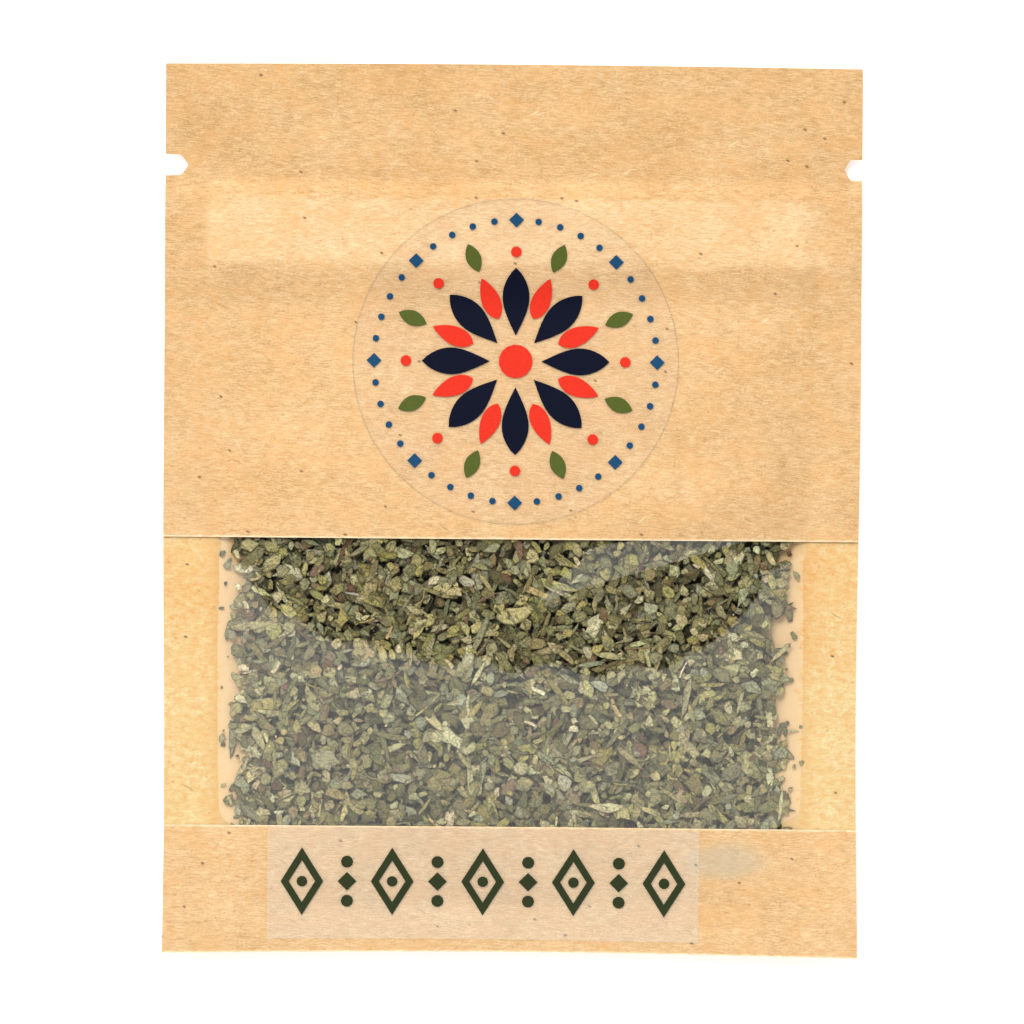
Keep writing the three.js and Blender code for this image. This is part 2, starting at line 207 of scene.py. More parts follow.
class StudioSetup(PropertyGroup):
    distance: FloatProperty(
        name="Camera distance",
        description="Camera height over the table",
        default=0.8,
        min=0.1,
        unit="LENGTH",
    )
    frame_width: length("Frame width", "What the picture is wide at the packet", 102.76)
    roll: FloatProperty(
        name="Roll", description="How far the camera is turned", default=math.radians(0.38), subtype="ANGLE"
    )
    dome: FloatProperty(name="Dome", description="Strength of the pale dome", default=1.24, min=0)
    key: FloatProperty(
        name="Key light", description="Power of the soft key light in watts", default=3.6, min=0
    )


class HerbPacket(PropertyGroup):
    shape: PointerProperty(type=PouchShape)
    paper: PointerProperty(type=PaperFinish)
    leaf: PointerProperty(type=LeafMix)
    inks: PointerProperty(type=PrintInks)
    studio: PointerProperty(type=StudioSetup)


def settings():
    return bpy.context.scene.herb_packet


def size_of(name):
    """A length of the pouch's shape, in millimetres."""
    return getattr(settings().shape, name) / MM


def ramp(lo, hi, value):
    """0 below lo, 1 above hi and smooth between."""
    t = np.clip((value - lo) / (hi - lo), 0, 1)
    return t * t * (3 - 2 * t)


def band(lo, hi, ease, value):
    """1 between lo and hi, and smooth down to 0 over ease on each side."""
    return ramp(lo - ease, lo, value) * (1 - ramp(hi, hi + ease, value))


def plan(x, y):
    """Where a point of the flat sheet lies in plan, once the filling has drawn the edges in."""
    away = np.minimum(1, np.abs(y - np.where(x > 0, DRAW_Y["right"], DRAW_Y["left"])) / DRAW_REACH)
    across = np.cos(math.pi / 2 * x / HALF_WIDTH)
    side = np.abs(x / HALF_WIDTH) ** 3 * np.cos(math.pi / 2 * away) ** 2
    end = np.abs(y / HALF_LENGTH) ** 3
    drawn = np.where(x > 0, -DRAW["right"], DRAW["left"])
    bowed = np.where(y > 0, -DRAW["head"] * (1 - across), DRAW["foot"] * across)
    return x + drawn * side, y + bowed * end + SKEW * x


def seam_height(x, y):
    """The seam's height over the table: the packet's edges hang, and its corners curl up."""
    foot_rise, head_rise = size_of("seam_rise"), size_of("head_rise")
    level = foot_rise + (head_rise - foot_rise) * ramp(FOOT_Y, HEAD_Y, y)
    right, left = ramp(CURL_X, HALF_WIDTH, x), ramp(CURL_X, HALF_WIDTH, -x)
    foot = ramp(CURL_FOOT_Y, HALF_LENGTH, -y) * (FOOT_CURL["right"] * right + FOOT_CURL["left"] * left)
    head = ramp(CURL_HEAD_Y, HALF_LENGTH, y) * (HEAD_CURL["right"] * right + HEAD_CURL["left"] * left)
    return level + foot + head


def wetted_to(x, y):
    """How far from the middle the heat seal starts to wet the paper: its edge is lobed, most at the right."""
    lobes = np.sin(1.15 * y + 0.8 * np.sin(0.53 * y)) + 0.7 * np.sin(2.9 * y + 1) + 0.5 * np.sin(5.3 * y)
    return POCKET_HALF - 0.35 + np.where(x > 0, 0.3, 0.13) * lobes


def pillow(x, y):
    """The pillow that the filling makes, from 0 at the seams to 1 at its crown."""
    across = 1 - np.clip(np.abs(x) / POCKET_HALF, 0, 1) ** SIDE_POWER
    down = 1 - np.clip((CROWN_Y - y) / (CROWN_Y - POCKET_LOW), 0, 1) ** FOOT_POWER
    up = (1 - np.clip((y - CROWN_Y) / (ZIP_Y - ZIP_HALF - CROWN_Y), 0, 1) ** 2) ** HEAD_POWER
    return across * down * up


def zip_swell(x, y):
    """How far the zip parts the sheets, from 0 to 1: less where the side seals crush it."""
    crushed = ramp(RIB_END, RIB_END + CRUSH_EASE, np.abs(x))
    low, high = ZIP_Y - ZIP_HALF, ZIP_Y + ZIP_HALF
    across = ramp(low - ZIP_EASE["below"], low, y) * (1 - ramp(high, high + ZIP_EASE["above"], y))
    return across * (1 - 0.58 * crushed)


def on_table(z):
    """The table holds the back up: below 0 it is flat, with a soft start above."""
    z = np.maximum(z, 0)
    return z * z / (z + FLAT_BLEND)


def back_under(x, y):
    sag = size_of("back_bulge") * pillow(x, y) + size_of("zip_back") * zip_swell(x, y)
    return on_table(seam_height(x, y) - size_of("back_thick") - sag)


def back_top(x, y):
    return back_under(x, y) + size_of("back_thick")


def buckle(x, y):
    """A shallow fold in the front: a flat facet that fans out from a point in the window."""
    angle = np.arctan2(y - FOLD_TIP[1], x - FOLD_TIP[0])
    away = np.hypot(x - FOLD_TIP[0], y - FOLD_TIP[1])
    facet = np.sin(np.clip(angle - FOLD_FROM, 0, FOLD_TO - FOLD_FROM))
    far_side = 1 - ramp(FOLD_TO, FOLD_END, angle)
    covered = 1 - ramp(WINDOW_HIGH, WINDOW_HIGH + FOLD_FADE, y)
    return FOLD_STEEP * away * facet * far_side * covered


def waviness(x, y):
    """The film's faint waves, over the filled part only."""
    waves = np.sin(x * 0.83 + 1.3 * np.sin(y * 0.31)) * np.cos(y * 0.71 + 0.9 * np.sin(x * 0.37 + 0.6))
    return WAVE_HEIGHT * waves * pillow(x, y)


def film_under(x, y):
    seam = on_table(seam_height(x, y) - size_of("back_thick")) + size_of("back_thick") + size_of("layer_gap")
    lift = size_of("front_bulge") * pillow(x, y) + size_of("zip_front") * zip_swell(x, y)
    return seam + lift + buckle(x, y) + waviness(x, y)


def film_top(x, y):
    return film_under(x, y) + size_of("film_thick")


def paper_under(x, y):
    return film_top(x, y) + size_of("layer_gap")


def paper_top(x, y):
    return paper_under(x, y) + size_of("paper_thick")


def sticker_under(x, y):
    return paper_top(x, y) + size_of("layer_gap") + STICKER_LIFT


def sticker_top(x, y):
    return sticker_under(x, y) + size_of("sticker_thick")


def lines(breaks, step):
    """Grid lines through every break, no further apart than step."""
    made = [breaks[0]]
    for start, end in zip(breaks, breaks[1:]):
        count = max(1, math.ceil((end - start) / step - 1e-6))
        made += [start + (end - start) * k / count for k in range(1, count + 1)]
    return np.array(made)


def notch_depth(side, y):
    """How far the tear notch of a side reaches in at a height y: straight sides that close to a point."""
    depth = NOTCH_DEPTH[side]
    off = np.abs(y - NOTCH_Y) / NOTCH_HALF
    reach = depth * (1 - (0.92 - NOTCH_STRAIGHT) * off**1.1 - 0.08 * off**10)
    return np.where(off <= 1, reach, 0)


def round_notches(x, y):
    """Bends a sheet's grid inwards, so that its edges follow the tear notches."""
    left, right = HALF_WIDTH - notch_depth("left", y), HALF_WIDTH - notch_depth("right", y)
    edge = np.where(x > 0, right, left)
    share = np.maximum(0, np.abs(x) - NOTCH_ZONE) / (HALF_WIDTH - NOTCH_ZONE)
    return np.where(np.abs(x) > NOTCH_ZONE, np.sign(x) * (NOTCH_ZONE + share * (edge - NOTCH_ZONE)), x)


def make_object(name, points, faces, materials, face_materials=None):
    """A mesh object from points in millimetres."""
    mesh = bpy.data.meshes.new(name)
    mesh.from_pydata((np.asarray(points) * MM).tolist(), [], faces)
    for material in materials:
        mesh.materials.append(material)
    if face_materials is not None:
        mesh.polygons.foreach_set("material_index", np.asarray(face_materials, dtype=np.int32))
    mesh.update()
    made = bpy.data.objects.new(name, mesh)
    bpy.context.scene.collection.objects.link(made)
    return made


def smooth(made, sharp_degrees=40):
    made.data.shade_smooth()
    made.data.set_sharp_from_angle(angle=math.radians(sharp_degrees))


def point_values(made, name, values):
    """A named value on each point of a mesh, for its material to read."""
    attribute = made.data.attributes.new(name, "FLOAT", "POINT")
    attribute.data.foreach_set("value", np.asarray(values, dtype=np.float32))


def two_layers(x, y, under, over):
    """The points of a sheet's underside, and then those of its top, over the same plan points."""
    px, py = plan(x, y)
    layers = [np.stack([px, py, height(x, y)], axis=-1) for height in (under, over)]
    return np.concatenate([layer.reshape(-1, 3) for layer in layers])


def closed_grid(x, y, under, over):
    """Points and faces of a closed sheet over a grid of plan points, between two heights."""
    rows, columns = x.shape
    points = two_layers(x, y, under, over)
    at = np.arange(rows * columns).reshape(rows, columns)
    a, b, c, d = at[:-1, :-1], at[:-1, 1:], at[1:, 1:], at[1:, :-1]
    low = np.stack([a, d, c, b], axis=-1).reshape(-1, 4)
    high = np.stack([a, b, c, d], axis=-1).reshape(-1, 4) + rows * columns
    rim = np.concatenate([at[0, :-1], at[:-1, -1], at[-1, :0:-1], at[:0:-1, 0]])
    after = np.roll(rim, -1)
    walls = np.stack([rim, after, after + rows * columns, rim + rows * columns], axis=-1)
    return points, low, high, walls


def sheet(name, ys, under, over, materials, notched=True, fine=None):
    """A sheet of the packet across its whole width: its underside, top and walls take three materials.

    Columns are as close as fine along the fold in the film.
    """
    step, end = size_of("grid_step"), HALF_WIDTH
    near, far = FOLD_COLUMNS
    xs = np.concatenate(
        [
            lines([-end, -end + EDGE_CELL, -POCKET_HALF, near], step),
            lines([near, far], fine or step)[1:],
            lines([far, POCKET_HALF, end - EDGE_CELL, end], step)[1:],
        ]
    )
    x, y = np.meshgrid(xs, ys)
    if notched:
        x = round_notches(x, y)
    points, low, high, walls = closed_grid(x, y, under, over)
    faces = np.concatenate([low, high, walls]).tolist()
    kinds = [0] * len(low) + [1] * len(high) + [2] * len(walls)
    made = make_object(name, points, faces, materials, kinds)
    smooth(made)
    return made, np.tile(x.ravel(), 2), np.tile(y.ravel(), 2)


def sheet_rows(lo, hi, notched=True):
    """The rows of a sheet's grid: fine at its cut ends, at the zip and round the tear notches."""
    step, fine = size_of("grid_step"), size_of("fine_step")
    breaks = [lo, lo + EDGE_CELL, hi - EDGE_CELL, hi, POCKET_LOW, WINDOW_LOW, WINDOW_HIGH]
    tight = [
        (ZIP_Y - ZIP_HALF - ZIP_EASE["below"], ZIP_Y - ZIP_HALF),
        (ZIP_Y + ZIP_HALF, ZIP_Y + ZIP_HALF + ZIP_EASE["above"]),
        (FOLD_TIP[1] - 1, WINDOW_HIGH),
    ]
    breaks += [end for zone in tight for end in zone]
    breaks = sorted({b for b in breaks if lo <= b <= hi})
    rows = [np.array([lo])]
    for start, end in zip(breaks, breaks[1:]):
        middle = (start + end) / 2
        close = any(min(zone) < middle < max(zone) for zone in tight)
        rows.append(lines([start, end], fine if close else step)[1:])
    rows = np.concatenate(rows)
    if not notched:
        return rows
    sliver, apart = 0.01, 0.1
    across = NOTCH_HALF * np.sin(np.linspace(-math.pi / 2, math.pi / 2, NOTCH_ROWS))
    notch = np.concatenate(
        [[NOTCH_Y - NOTCH_HALF - sliver], NOTCH_Y + across, [NOTCH_Y + NOTCH_HALF + sliver]]
    )
    clear = rows[(rows < notch[0] - apart) | (rows > notch[-1] + apart)]
    return np.sort(np.concatenate([clear, notch]))


EASED = {"interpolation_type": "SMOOTHSTEP"}  # for a Map Range whose ends are soft


def add_node(tree, kind, inputs=None, **values):
    """Adds a shader node, with its own settings and with its inputs' values or links."""
    made = tree.nodes.new("ShaderNode" + kind)
    for name, value in values.items():
        setattr(made, name, value)
    for key, value in (inputs or {}).items():
        if isinstance(value, bpy.types.NodeSocket):
            tree.links.new(value, made.inputs[key])
        else:
            made.inputs[key].default_value = value
    return made


def new_material(name):
    """An empty material and its node tree."""
    material = bpy.data.materials.new(name)
    material.use_nodes = True
    material.node_tree.nodes.clear()
    return material, material.node_tree


def opaque(rgb):
    return (*rgb, 1.0)


def scale_of(size):
    """The scale that draws a pattern at its real size, in millimetres."""
    return 1 / (size * MM)


# The kraft paper's patterns: their sizes along the web and across it, in millimetres.
# A single fibre is about 0.04 mm wide, too fine to show, so the grain is three times as coarse.
GRAIN = (0.24, 0.12)
BLOTCH = {"plain": (1.5, 0.7), "laminated": (0.9, 0.6)}
STREAK_WIDTH = 0.26
# The patchy edge of the painted zip light
ZIP_LIGHT_PATCH = (7, 1.1)
SEAL_FRINGE = (1.0, 0.5)
TUFT = (0.9, 0.2)
BARK_SPECK = (6.5, 4.0)
RUST_SPECK = (2.9, 1.8)
RUST_FIBRE = (19, 2.2)
PALE_FIBRE = (16, 2.0)
PULP_WAVE = 2
PULP_SHIFT = 0.4  # how far a wave pushes the fibres aside
# How strongly the grain, two runs of fibres, the blotches and the clouds show
PULP_SHARES = {"plain": (1.2, 1.3, 0.9, 0.9, 0.6), "laminated": (1.2, 0.5, 0.5, 1.7, 0.6)}
WARM_TINT = (1.0, 0.82, 0.6)
PAPER_MARKS = ("cut_edge", "backing", "pallor", "stain", "seal")


def kraft_paper(name, kind="plain"):
    """Unbleached kraft paper, machine-glazed: short fibres along the web, cloudy pulp, a few bark specks.

    Laminated, its inner film adds a thin gloss, and the heat seal has wetted it to a deeper, patchy colour.
    """
    finish = settings().paper
    laminated = kind == "laminated"
    material, tree = new_material(name)
    place = add_node(tree, "TexCoord").outputs["Object"]
    marks = {key: add_node(tree, "Attribute", attribute_name=key).outputs["Fac"] for key in PAPER_MARKS}
    long, wide, cloud = finish.fibre_length / MM, finish.fibre_width / MM, finish.mottle / MM
    wave = add_node(tree, "TexNoise", {"Vector": place, "Scale": scale_of(PULP_WAVE)}, noise_dimensions="2D")
    pushed = (PULP_SHIFT * MM, PULP_SHIFT * MM, 0)
    bent = add_node(
        tree, "VectorMath", {0: wave.outputs["Color"], 1: pushed, 2: place}, operation="MULTIPLY_ADD"
    ).outputs[0]

    def placed(sizes, turn, shift):
        """The bent coordinates, turned and shifted, and then divided by a pattern's size along each axis."""
        inputs = {"Vector": bent, "Location": (shift, shift, 0), "Rotation": (0, 0, turn)}
        inputs = {"Vector": add_node(tree, "Mapping", inputs).outputs["Vector"]}
        inputs["Scale"] = tuple(scale_of(size) for size in (*sizes, 1))
        return add_node(tree, "Mapping", inputs).outputs["Vector"]

    def pulp(sizes, detail, turn=0.0, shift=0.0):
        """How dense the pulp is, in strands or clouds of a size. The shift keeps two patterns apart."""
        inputs = {"Vector": placed(sizes, turn, shift), "Scale": 1.0, "Detail": detail, "Roughness": 0.6}
        return add_node(tree, "TexNoise", inputs, noise_dimensions="2D").outputs["Fac"]

    def weighed(factor, share, rest=0.0, centre=0.0):
        """A value less its centre, times a share, plus the rest."""
        moved = add_node(tree, "Math", {0: factor, 1: centre}, operation="SUBTRACT").outputs[0]
        return add_node(tree, "Math", {0: moved, 1: share, 2: rest}, operation="MULTIPLY_ADD").outputs[0]

    def blend(factor, share, under, over, limits=None, clamp=True):
        """One colour over another, by a share of a factor that may be eased between limits first."""
        if limits:
            inputs = {"Value": factor, "From Min": limits[0], "From Max": limits[1]}
            factor = add_node(tree, "MapRange", inputs, **EASED).outputs["Result"]
        inputs = {"Factor": weighed(factor, share), "A": under, "B": over}
        return add_node(tree, "Mix", inputs, data_type="RGBA", clamp_factor=clamp).outputs["Result"]

    def flecks(sizes, small, large, rare, turn=0.0, shift=0.0):
        """Scattered marks: one in some of the cells that a Voronoi pattern parts the sheet into."""
        inputs = {"Vector": placed(sizes, turn, shift), "Scale": 1.0}
        cells = add_node(tree, "TexVoronoi", inputs, voronoi_dimensions="2D").outputs
        inputs = {"Value": cells["Distance"], "From Min": large, "From Max": small}
        near = add_node(tree, "MapRange", inputs, **EASED).outputs["Result"]
        chosen = add_node(tree, "Math", {0: cells["Color"], 1: rare}, operation="GREATER_THAN").outputs[0]
        return weighed(near, chosen)

    strands = pulp((long * 0.6, wide), 1.0, turn=-0.15, shift=0.023)
    patterns = (
        pulp(GRAIN, 1.0, turn=0.05),
        pulp((long * 0.8, wide), 1.0, turn=0.12, shift=0.011),
        strands,
        pulp(BLOTCH[kind], 2.0, shift=0.041),
        pulp((cloud * 1.3, cloud), 1.0, shift=0.037),
    )
    # Painted light: the kraft is painted lighter towards the foot, by its brightening mark.
    level = weighed(marks["pallor"], 1.0, 0.5)
    for pattern, share in zip(patterns, PULP_SHARES[kind]):
        level = weighed(pattern, share, level, 0.5)
    if laminated:
        level = weighed(pulp((long * 0.7, STREAK_WIDTH), 1.0, shift=0.071), 0.7, level, 0.5)
    # Painted light: the kraft is painted paler over the zip, with a patchy edge.
    patchy = weighed(pulp(ZIP_LIGHT_PATCH, 3.0, shift=0.061), 1.3, marks["backing"], 0.5)
    painted_pale = add_node(tree, "MapRange", {"Value": patchy, "From Min": 0.1, "From Max": 1.0}, **EASED)
    level = weighed(painted_pale.outputs["Result"], 0.62, level)

    dark, pale = (finish.sealed, finish.lining) if laminated else (finish.dark, finish.pale)
    tan = opaque(c * f for c, f in zip(pale, WARM_TINT))
    rust = opaque((a + b) / 2 for a, b in zip(finish.bark, finish.dark))
    bark, edge = opaque(finish.bark), opaque(finish.edge)
    warm = weighed(strands, -0.9, pulp((cloud * 0.7, cloud * 0.45), 2.0, shift=0.05), 0.5)
    shade = blend(level, 1.0, opaque(dark), opaque(pale), clamp=False)
    shade = blend(warm, 0.5, shade, tan, limits=(0.35, 0.85))
    shade = blend(marks["stain"], 0.5, shade, opaque(finish.stain))
    shade = blend(flecks(BARK_SPECK, 0.012, 0.045, 0.6, turn=0.4), 0.85, shade, bark)
    shade = blend(flecks(RUST_SPECK, 0.01, 0.075, 0.55, turn=-0.2), 0.45, shade, rust)
    shade = blend(flecks(RUST_FIBRE, 0.015, 0.045, 0.75, turn=0.5, shift=0.013), 0.5, shade, rust)
    shade = blend(flecks(PALE_FIBRE, 0.02, 0.045, 0.8, turn=-0.6), 0.5, shade, edge)
    if laminated:
        fringe = weighed(pulp(SEAL_FRINGE, 2.0, shift=0.003), 1.2, marks["seal"], 0.5)
        shade = blend(fringe, 0.4, shade, opaque(finish.sealed), limits=(2.0, 0.3))
        # Painted light: inside the seal line the lining is painted pale.
        shade = blend(fringe, 0.75, shade, opaque(finish.painted_pale), limits=(0.12, -0.05))
    # The cut edges: loose pale fibres, and a painted highlight along the lit edge.
    tufts = weighed(pulp(TUFT, 2.0, shift=0.083), 2.0, -0.15, 0.5)
    fray_and_highlight = marks["cut_edge"]
    near_cut = add_node(tree, "Math", {0: fray_and_highlight, 1: 0.02}, operation="GREATER_THAN").outputs[0]
    shade = blend(weighed(weighed(fray_and_highlight, 1.3, tufts), near_cut), 0.9, shade, edge)

    relief = add_node(tree, "Bump", {"Strength": 0.2, "Distance": 0.03 * MM, "Height": level})
    values = {"Base Color": shade, "Roughness": 0.82, "IOR": 1.5, "Normal": relief.outputs["Normal"]}
    if laminated:
        values |= {"Coat Weight": 0.2, "Coat Roughness": 0.3}
    body = add_node(tree, "BsdfPrincipled", values)
    add_node(tree, "OutputMaterial", {"Surface": body.outputs["BSDF"]})
    return material


FILM_TINT = "#FDFDFD"
GLARE_TINT = "#FFFFF7"


def clear_film(name, strength, gloss):
    """Cast polypropylene film: clear, with a mirror gloss of a few percent a side.

    The gloss rises towards grazing, by Schlick's rule for plastic.
    """
    material, tree = new_material(name)
    facing = add_node(tree, "LayerWeight", {"Blend": 0.5}).outputs["Facing"]
    steep = add_node(tree, "Math", {0: facing, 1: 5.0}, operation="POWER").outputs[0]
    mirror = add_node(tree, "MapRange", {"Value": steep, "To Min": strength, "To Max": 1.0}).outputs["Result"]
    through = add_node(tree, "BsdfTransparent", {"Color": opaque(linear(FILM_TINT))}).outputs["BSDF"]
    inputs = {"Color": opaque(linear(GLARE_TINT)), "Roughness": gloss}
    shine = add_node(tree, "BsdfAnisotropic", inputs, distribution="GGX").outputs["BSDF"]
    mixed = add_node(tree, "MixShader", {0: mirror, 1: through, 2: shine})
    add_node(tree, "OutputMaterial", {"Surface": mixed.outputs["Shader"]})
    return material


def label_film(name, hex_colour, cover):
    """Clear label film over its adhesive: a milky veil, satin on top."""
    material, tree = new_material(name)
    values = {"Base Color": opaque(linear(hex_colour)), "Roughness": 0.4, "IOR": 1.46, "Alpha": cover}
    body = add_node(tree, "BsdfPrincipled", values)
    add_node(tree, "OutputMaterial", {"Surface": body.outputs["BSDF"]})
    return material


INK_BLOTCH = 0.25  # millimetres
INK_PALER = (1.35, 0.002)  # how much paler the ink is where it lies thin: a factor, and a little more


def label_ink(name, rgb):
    """Screen-printed label ink: matt, a little uneven where it wets the film."""
    material, tree = new_material(name)
    place = add_node(tree, "TexCoord").outputs["Object"]
    inputs = {"Vector": place, "Scale": scale_of(INK_BLOTCH), "Detail": 2.0}
    thin = add_node(tree, "TexNoise", inputs).outputs["Fac"]
    factor, more = INK_PALER
    paler = opaque(min(1, c * factor + more) for c in rgb)
    shade = add_node(tree, "Mix", {"Factor": thin, "A": opaque(rgb), "B": paler}, data_type="RGBA")
    values = {"Base Color": shade.outputs["Result"], "Roughness": 0.6, "IOR": 1.48}
    values |= {"Specular IOR Level": 0.05}
    body = add_node(tree, "BsdfPrincipled", values)
    add_node(tree, "OutputMaterial", {"Surface": body.outputs["BSDF"]})
    return material


EXTRUSION_LINE = (20, 0.2, 0.2)  # millimetres along the zip and across it
ZIP_SHADES = ("#E6E6E0", "#F6F6F2")


def zip_plastic(name):
    """Extruded polyethylene: milky white, waxy, with faint lines along the extrusion."""
    material, tree = new_material(name)
    place = add_node(tree, "TexCoord").outputs["Object"]
    inputs = {"Vector": place, "Scale": tuple(scale_of(size) for size in EXTRUSION_LINE)}
    drawn = add_node(tree, "Mapping", inputs).outputs["Vector"]
    line = add_node(tree, "TexNoise", {"Vector": drawn, "Scale": 1.0}).outputs["Fac"]
    duller, whiter = (opaque(linear(shade)) for shade in ZIP_SHADES)
    shade = add_node(tree, "Mix", {"Factor": line, "A": duller, "B": whiter}, data_type="RGBA")
    values = {"Base Color": shade.outputs["Result"], "Roughness": 0.38, "IOR": 1.51}
    values |= {"Subsurface Weight": 0.2, "Subsurface Scale": 0.4 * MM}
    body = add_node(tree, "BsdfPrincipled", values)
    add_node(tree, "OutputMaterial", {"Surface": body.outputs["BSDF"]})
    return material


# A dry leaf's cells are finer than a pixel, so its crinkle is drawn about twice as coarse, in millimetres
LEAF_CRINKLE = 0.24
LEAF_CREASE = 0.6
CRINKLE_LIGHT = {"From Min": 0.3, "From Max": 0.7, "To Min": 0.5, "To Max": 1.55}
CREASE_LIGHT = {"From Max": 0.045, "To Min": 0.4, "To Max": 1.0}


def dried_plant(name, vein=0.25, rough=0.7):
    """Dried plant tissue: matt and crinkled, its crinkle and creases painted as light and shade. Each bit's
    own colour comes from its points.
    """
    material, tree = new_material(name)
    place = add_node(tree, "TexCoord").outputs["Object"]
    tint = add_node(tree, "Attribute", attribute_name="tint").outputs["Color"]
    inputs = {"Vector": place, "Scale": scale_of(LEAF_CRINKLE), "Detail": 2.0, "Roughness": 0.9}
    crinkle = add_node(tree, "TexNoise", inputs).outputs["Fac"]
    # Painted light and shade: the crinkle mottles the colour lighter and darker, and the creases are painted
    # as dark lines.
    light = add_node(tree, "MapRange", {"Value": crinkle, **CRINKLE_LIGHT}).outputs["Result"]
    inputs = {"Vector": place, "Scale": scale_of(LEAF_CREASE), "Detail": 0.0}
    off = add_node(tree, "TexNoise", inputs).outputs["Fac"]
    off = add_node(tree, "Math", {0: off, 1: 0.5}, operation="SUBTRACT").outputs[0]
    off = add_node(tree, "Math", {0: off}, operation="ABSOLUTE").outputs[0]
    crease = add_node(tree, "MapRange", {"Value": off, **CREASE_LIGHT}).outputs["Result"]
    light = add_node(tree, "Math", {0: light, 1: crease}, operation="MULTIPLY").outputs[0]
    shade = add_node(tree, "VectorMath", {0: tint, "Scale": light}, operation="SCALE").outputs["Vector"]
    relief = add_node(tree, "Bump", {"Strength": vein, "Distance": 0.1 * MM, "Height": crinkle})
    values = {"Base Color": shade, "Roughness": rough, "IOR": 1.45, "Normal": relief.outputs["Normal"]}
    body = add_node(tree, "BsdfPrincipled", values)
    add_node(tree, "OutputMaterial", {"Surface": body.outputs["BSDF"]})
    return material


WHITE = "#FFFFFF"
OPAL_CLOUD = 40  # millimetres
OPAL_SHADES = ("#F8F8F8", "#FCFCFC")


def light_table(name):
    """Opal acrylic, cast: smooth and white, and lit from behind, so that shadows on it stay pale."""
    material, tree = new_material(name)
    place = add_node(tree, "TexCoord").outputs["Object"]
    cloudy = add_node(tree, "TexNoise", {"Vector": place, "Scale": scale_of(OPAL_CLOUD)}).outputs["Fac"]
    duller, whiter = (opaque(linear(shade)) for shade in OPAL_SHADES)
    shade = add_node(tree, "Mix", {"Factor": cloudy, "A": duller, "B": whiter}, data_type="RGBA")
    values = {"Base Color": shade.outputs["Result"], "Roughness": 0.6, "IOR": 1.49, "Specular IOR Level": 0.2}
    values |= {"Emission Color": opaque(linear(WHITE)), "Emission Strength": 0.36}
    body = add_node(tree, "BsdfPrincipled", values)
    add_node(tree, "OutputMaterial", {"Surface": body.outputs["BSDF"]})
    return material


def belongs(made, slot, *nodes):
    """Rides a piece on the packet and hides the solids that it stands for; its slot is not used."""
    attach(made, "root")
    if nodes:
        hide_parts(*nodes)


def cut_edge_values(y, cut_lines, width=EDGE_CELL):
    """1 at the cuts across the web, where fibres stand loose and a painted highlight marks the lit edge, and
    0 further in than width.
    """
    away = np.minimum.reduce([np.abs(y - line) for line in cut_lines])
    return 1 - np.clip(away / width, 0, 1)


def painted_zip_light(x, y):
    """Painted light: the thin paper is painted paler where the white zip behind it would show through."""
    crushed = 1 - 0.8 * ramp(RIB_END, RIB_END + 2 * CRUSH_EASE, np.abs(x))
    low, high = ZIP_Y - ZIP_HALF, ZIP_Y + ZIP_HALF
    return ramp(low - 2.0, low + 1.0, y) * (1 - ramp(high - 0.3, high + 0.8, y)) * crushed


def pallor(x, y):
    """Painted light: how much lighter the kraft is painted where the filled film behind it brightens it,
    nothing at the empty head and most at the foot.
    """
    return 0.12 * (1 - ramp(ZIP_Y - 8, ZIP_Y, y)) + 0.2 * (1 - ramp(WINDOW_LOW, WINDOW_HIGH, y))


class HERBPACKET_OT_back_panel(Operator):
    """Make the laminated kraft back panel"""

    bl_idname = "herb_packet.back_panel"
    bl_label = "Back Panel"

    def execute(self, context):
        kraft = kraft_paper("kraft_paper_machine_glazed")
        inner = kraft_paper("kraft_paper_film_laminated", kind="laminated")
        rows = sheet_rows(-HALF_LENGTH, HALF_LENGTH)
        made, x, y = sheet("back_panel_sheet", rows, back_under, back_top, [kraft, inner, kraft])
        point_values(made, "cut_edge", cut_edge_values(y, (-HALF_LENGTH,)))
        point_values(made, "backing", np.zeros(len(x)))
        # Painted glare: the lining is painted lighter towards the foot.
        point_values(made, "pallor", 0.35 * (1 - ramp(-20, -8, y)))
        point_values(made, "seal", np.abs(x) - wetted_to(x, y))
        belongs(made, "kraft_back", "back_panel")
        return {"FINISHED"}


class HERBPACKET_OT_front_film(Operator):
    """Make the clear film that is the packet's whole front"""

    bl_idname = "herb_packet.front_film"
    bl_label = "Front Film"

    def execute(self, context):
        film = clear_film("cast_polypropylene_film", strength=0.044, gloss=0.015)
        rows = sheet_rows(-HALF_LENGTH, HALF_LENGTH)
        fine = size_of("fine_step")
        made, _, _ = sheet("front_film_sheet", rows, film_under, film_top, [film] * 3, fine=fine)
        belongs(made, "clear_film", "front_film")
        return {"FINISHED"}


class HERBPACKET_OT_paper_strips(Operator):
    """Make the two kraft strips above and below the window"""

    bl_idname = "herb_packet.paper_strips"
    bl_label = "Paper Strips"

    def execute(self, context):
        kraft = bpy.data.materials["kraft_paper_machine_glazed"]
        for name, low, high, notched, loose in (
            ("paper_strip_upper", WINDOW_HIGH, HALF_LENGTH, True, (WINDOW_HIGH,)),
            ("paper_strip_lower", -HALF_LENGTH, WINDOW_LOW, False, (-HALF_LENGTH, WINDOW_LOW)),
        ):
            rows = sheet_rows(low, high, notched)
            made, x, y = sheet(name + "_sheet", rows, paper_under, paper_top, [kraft] * 3, notched)
            point_values(made, "cut_edge", cut_edge_values(y, loose))
            point_values(made, "backing", painted_zip_light(x, y))
            point_values(made, "pallor", pallor(x, y))
            off = np.hypot((x - STAIN_CENTRE[0]) / STAIN_REACH[0], (y - STAIN_CENTRE[1]) / STAIN_REACH[1])
            point_values(made, "stain", 1 - ramp(0.4, 1, off))
            belongs(made, "kraft_front", name)
        return {"FINISHED"}


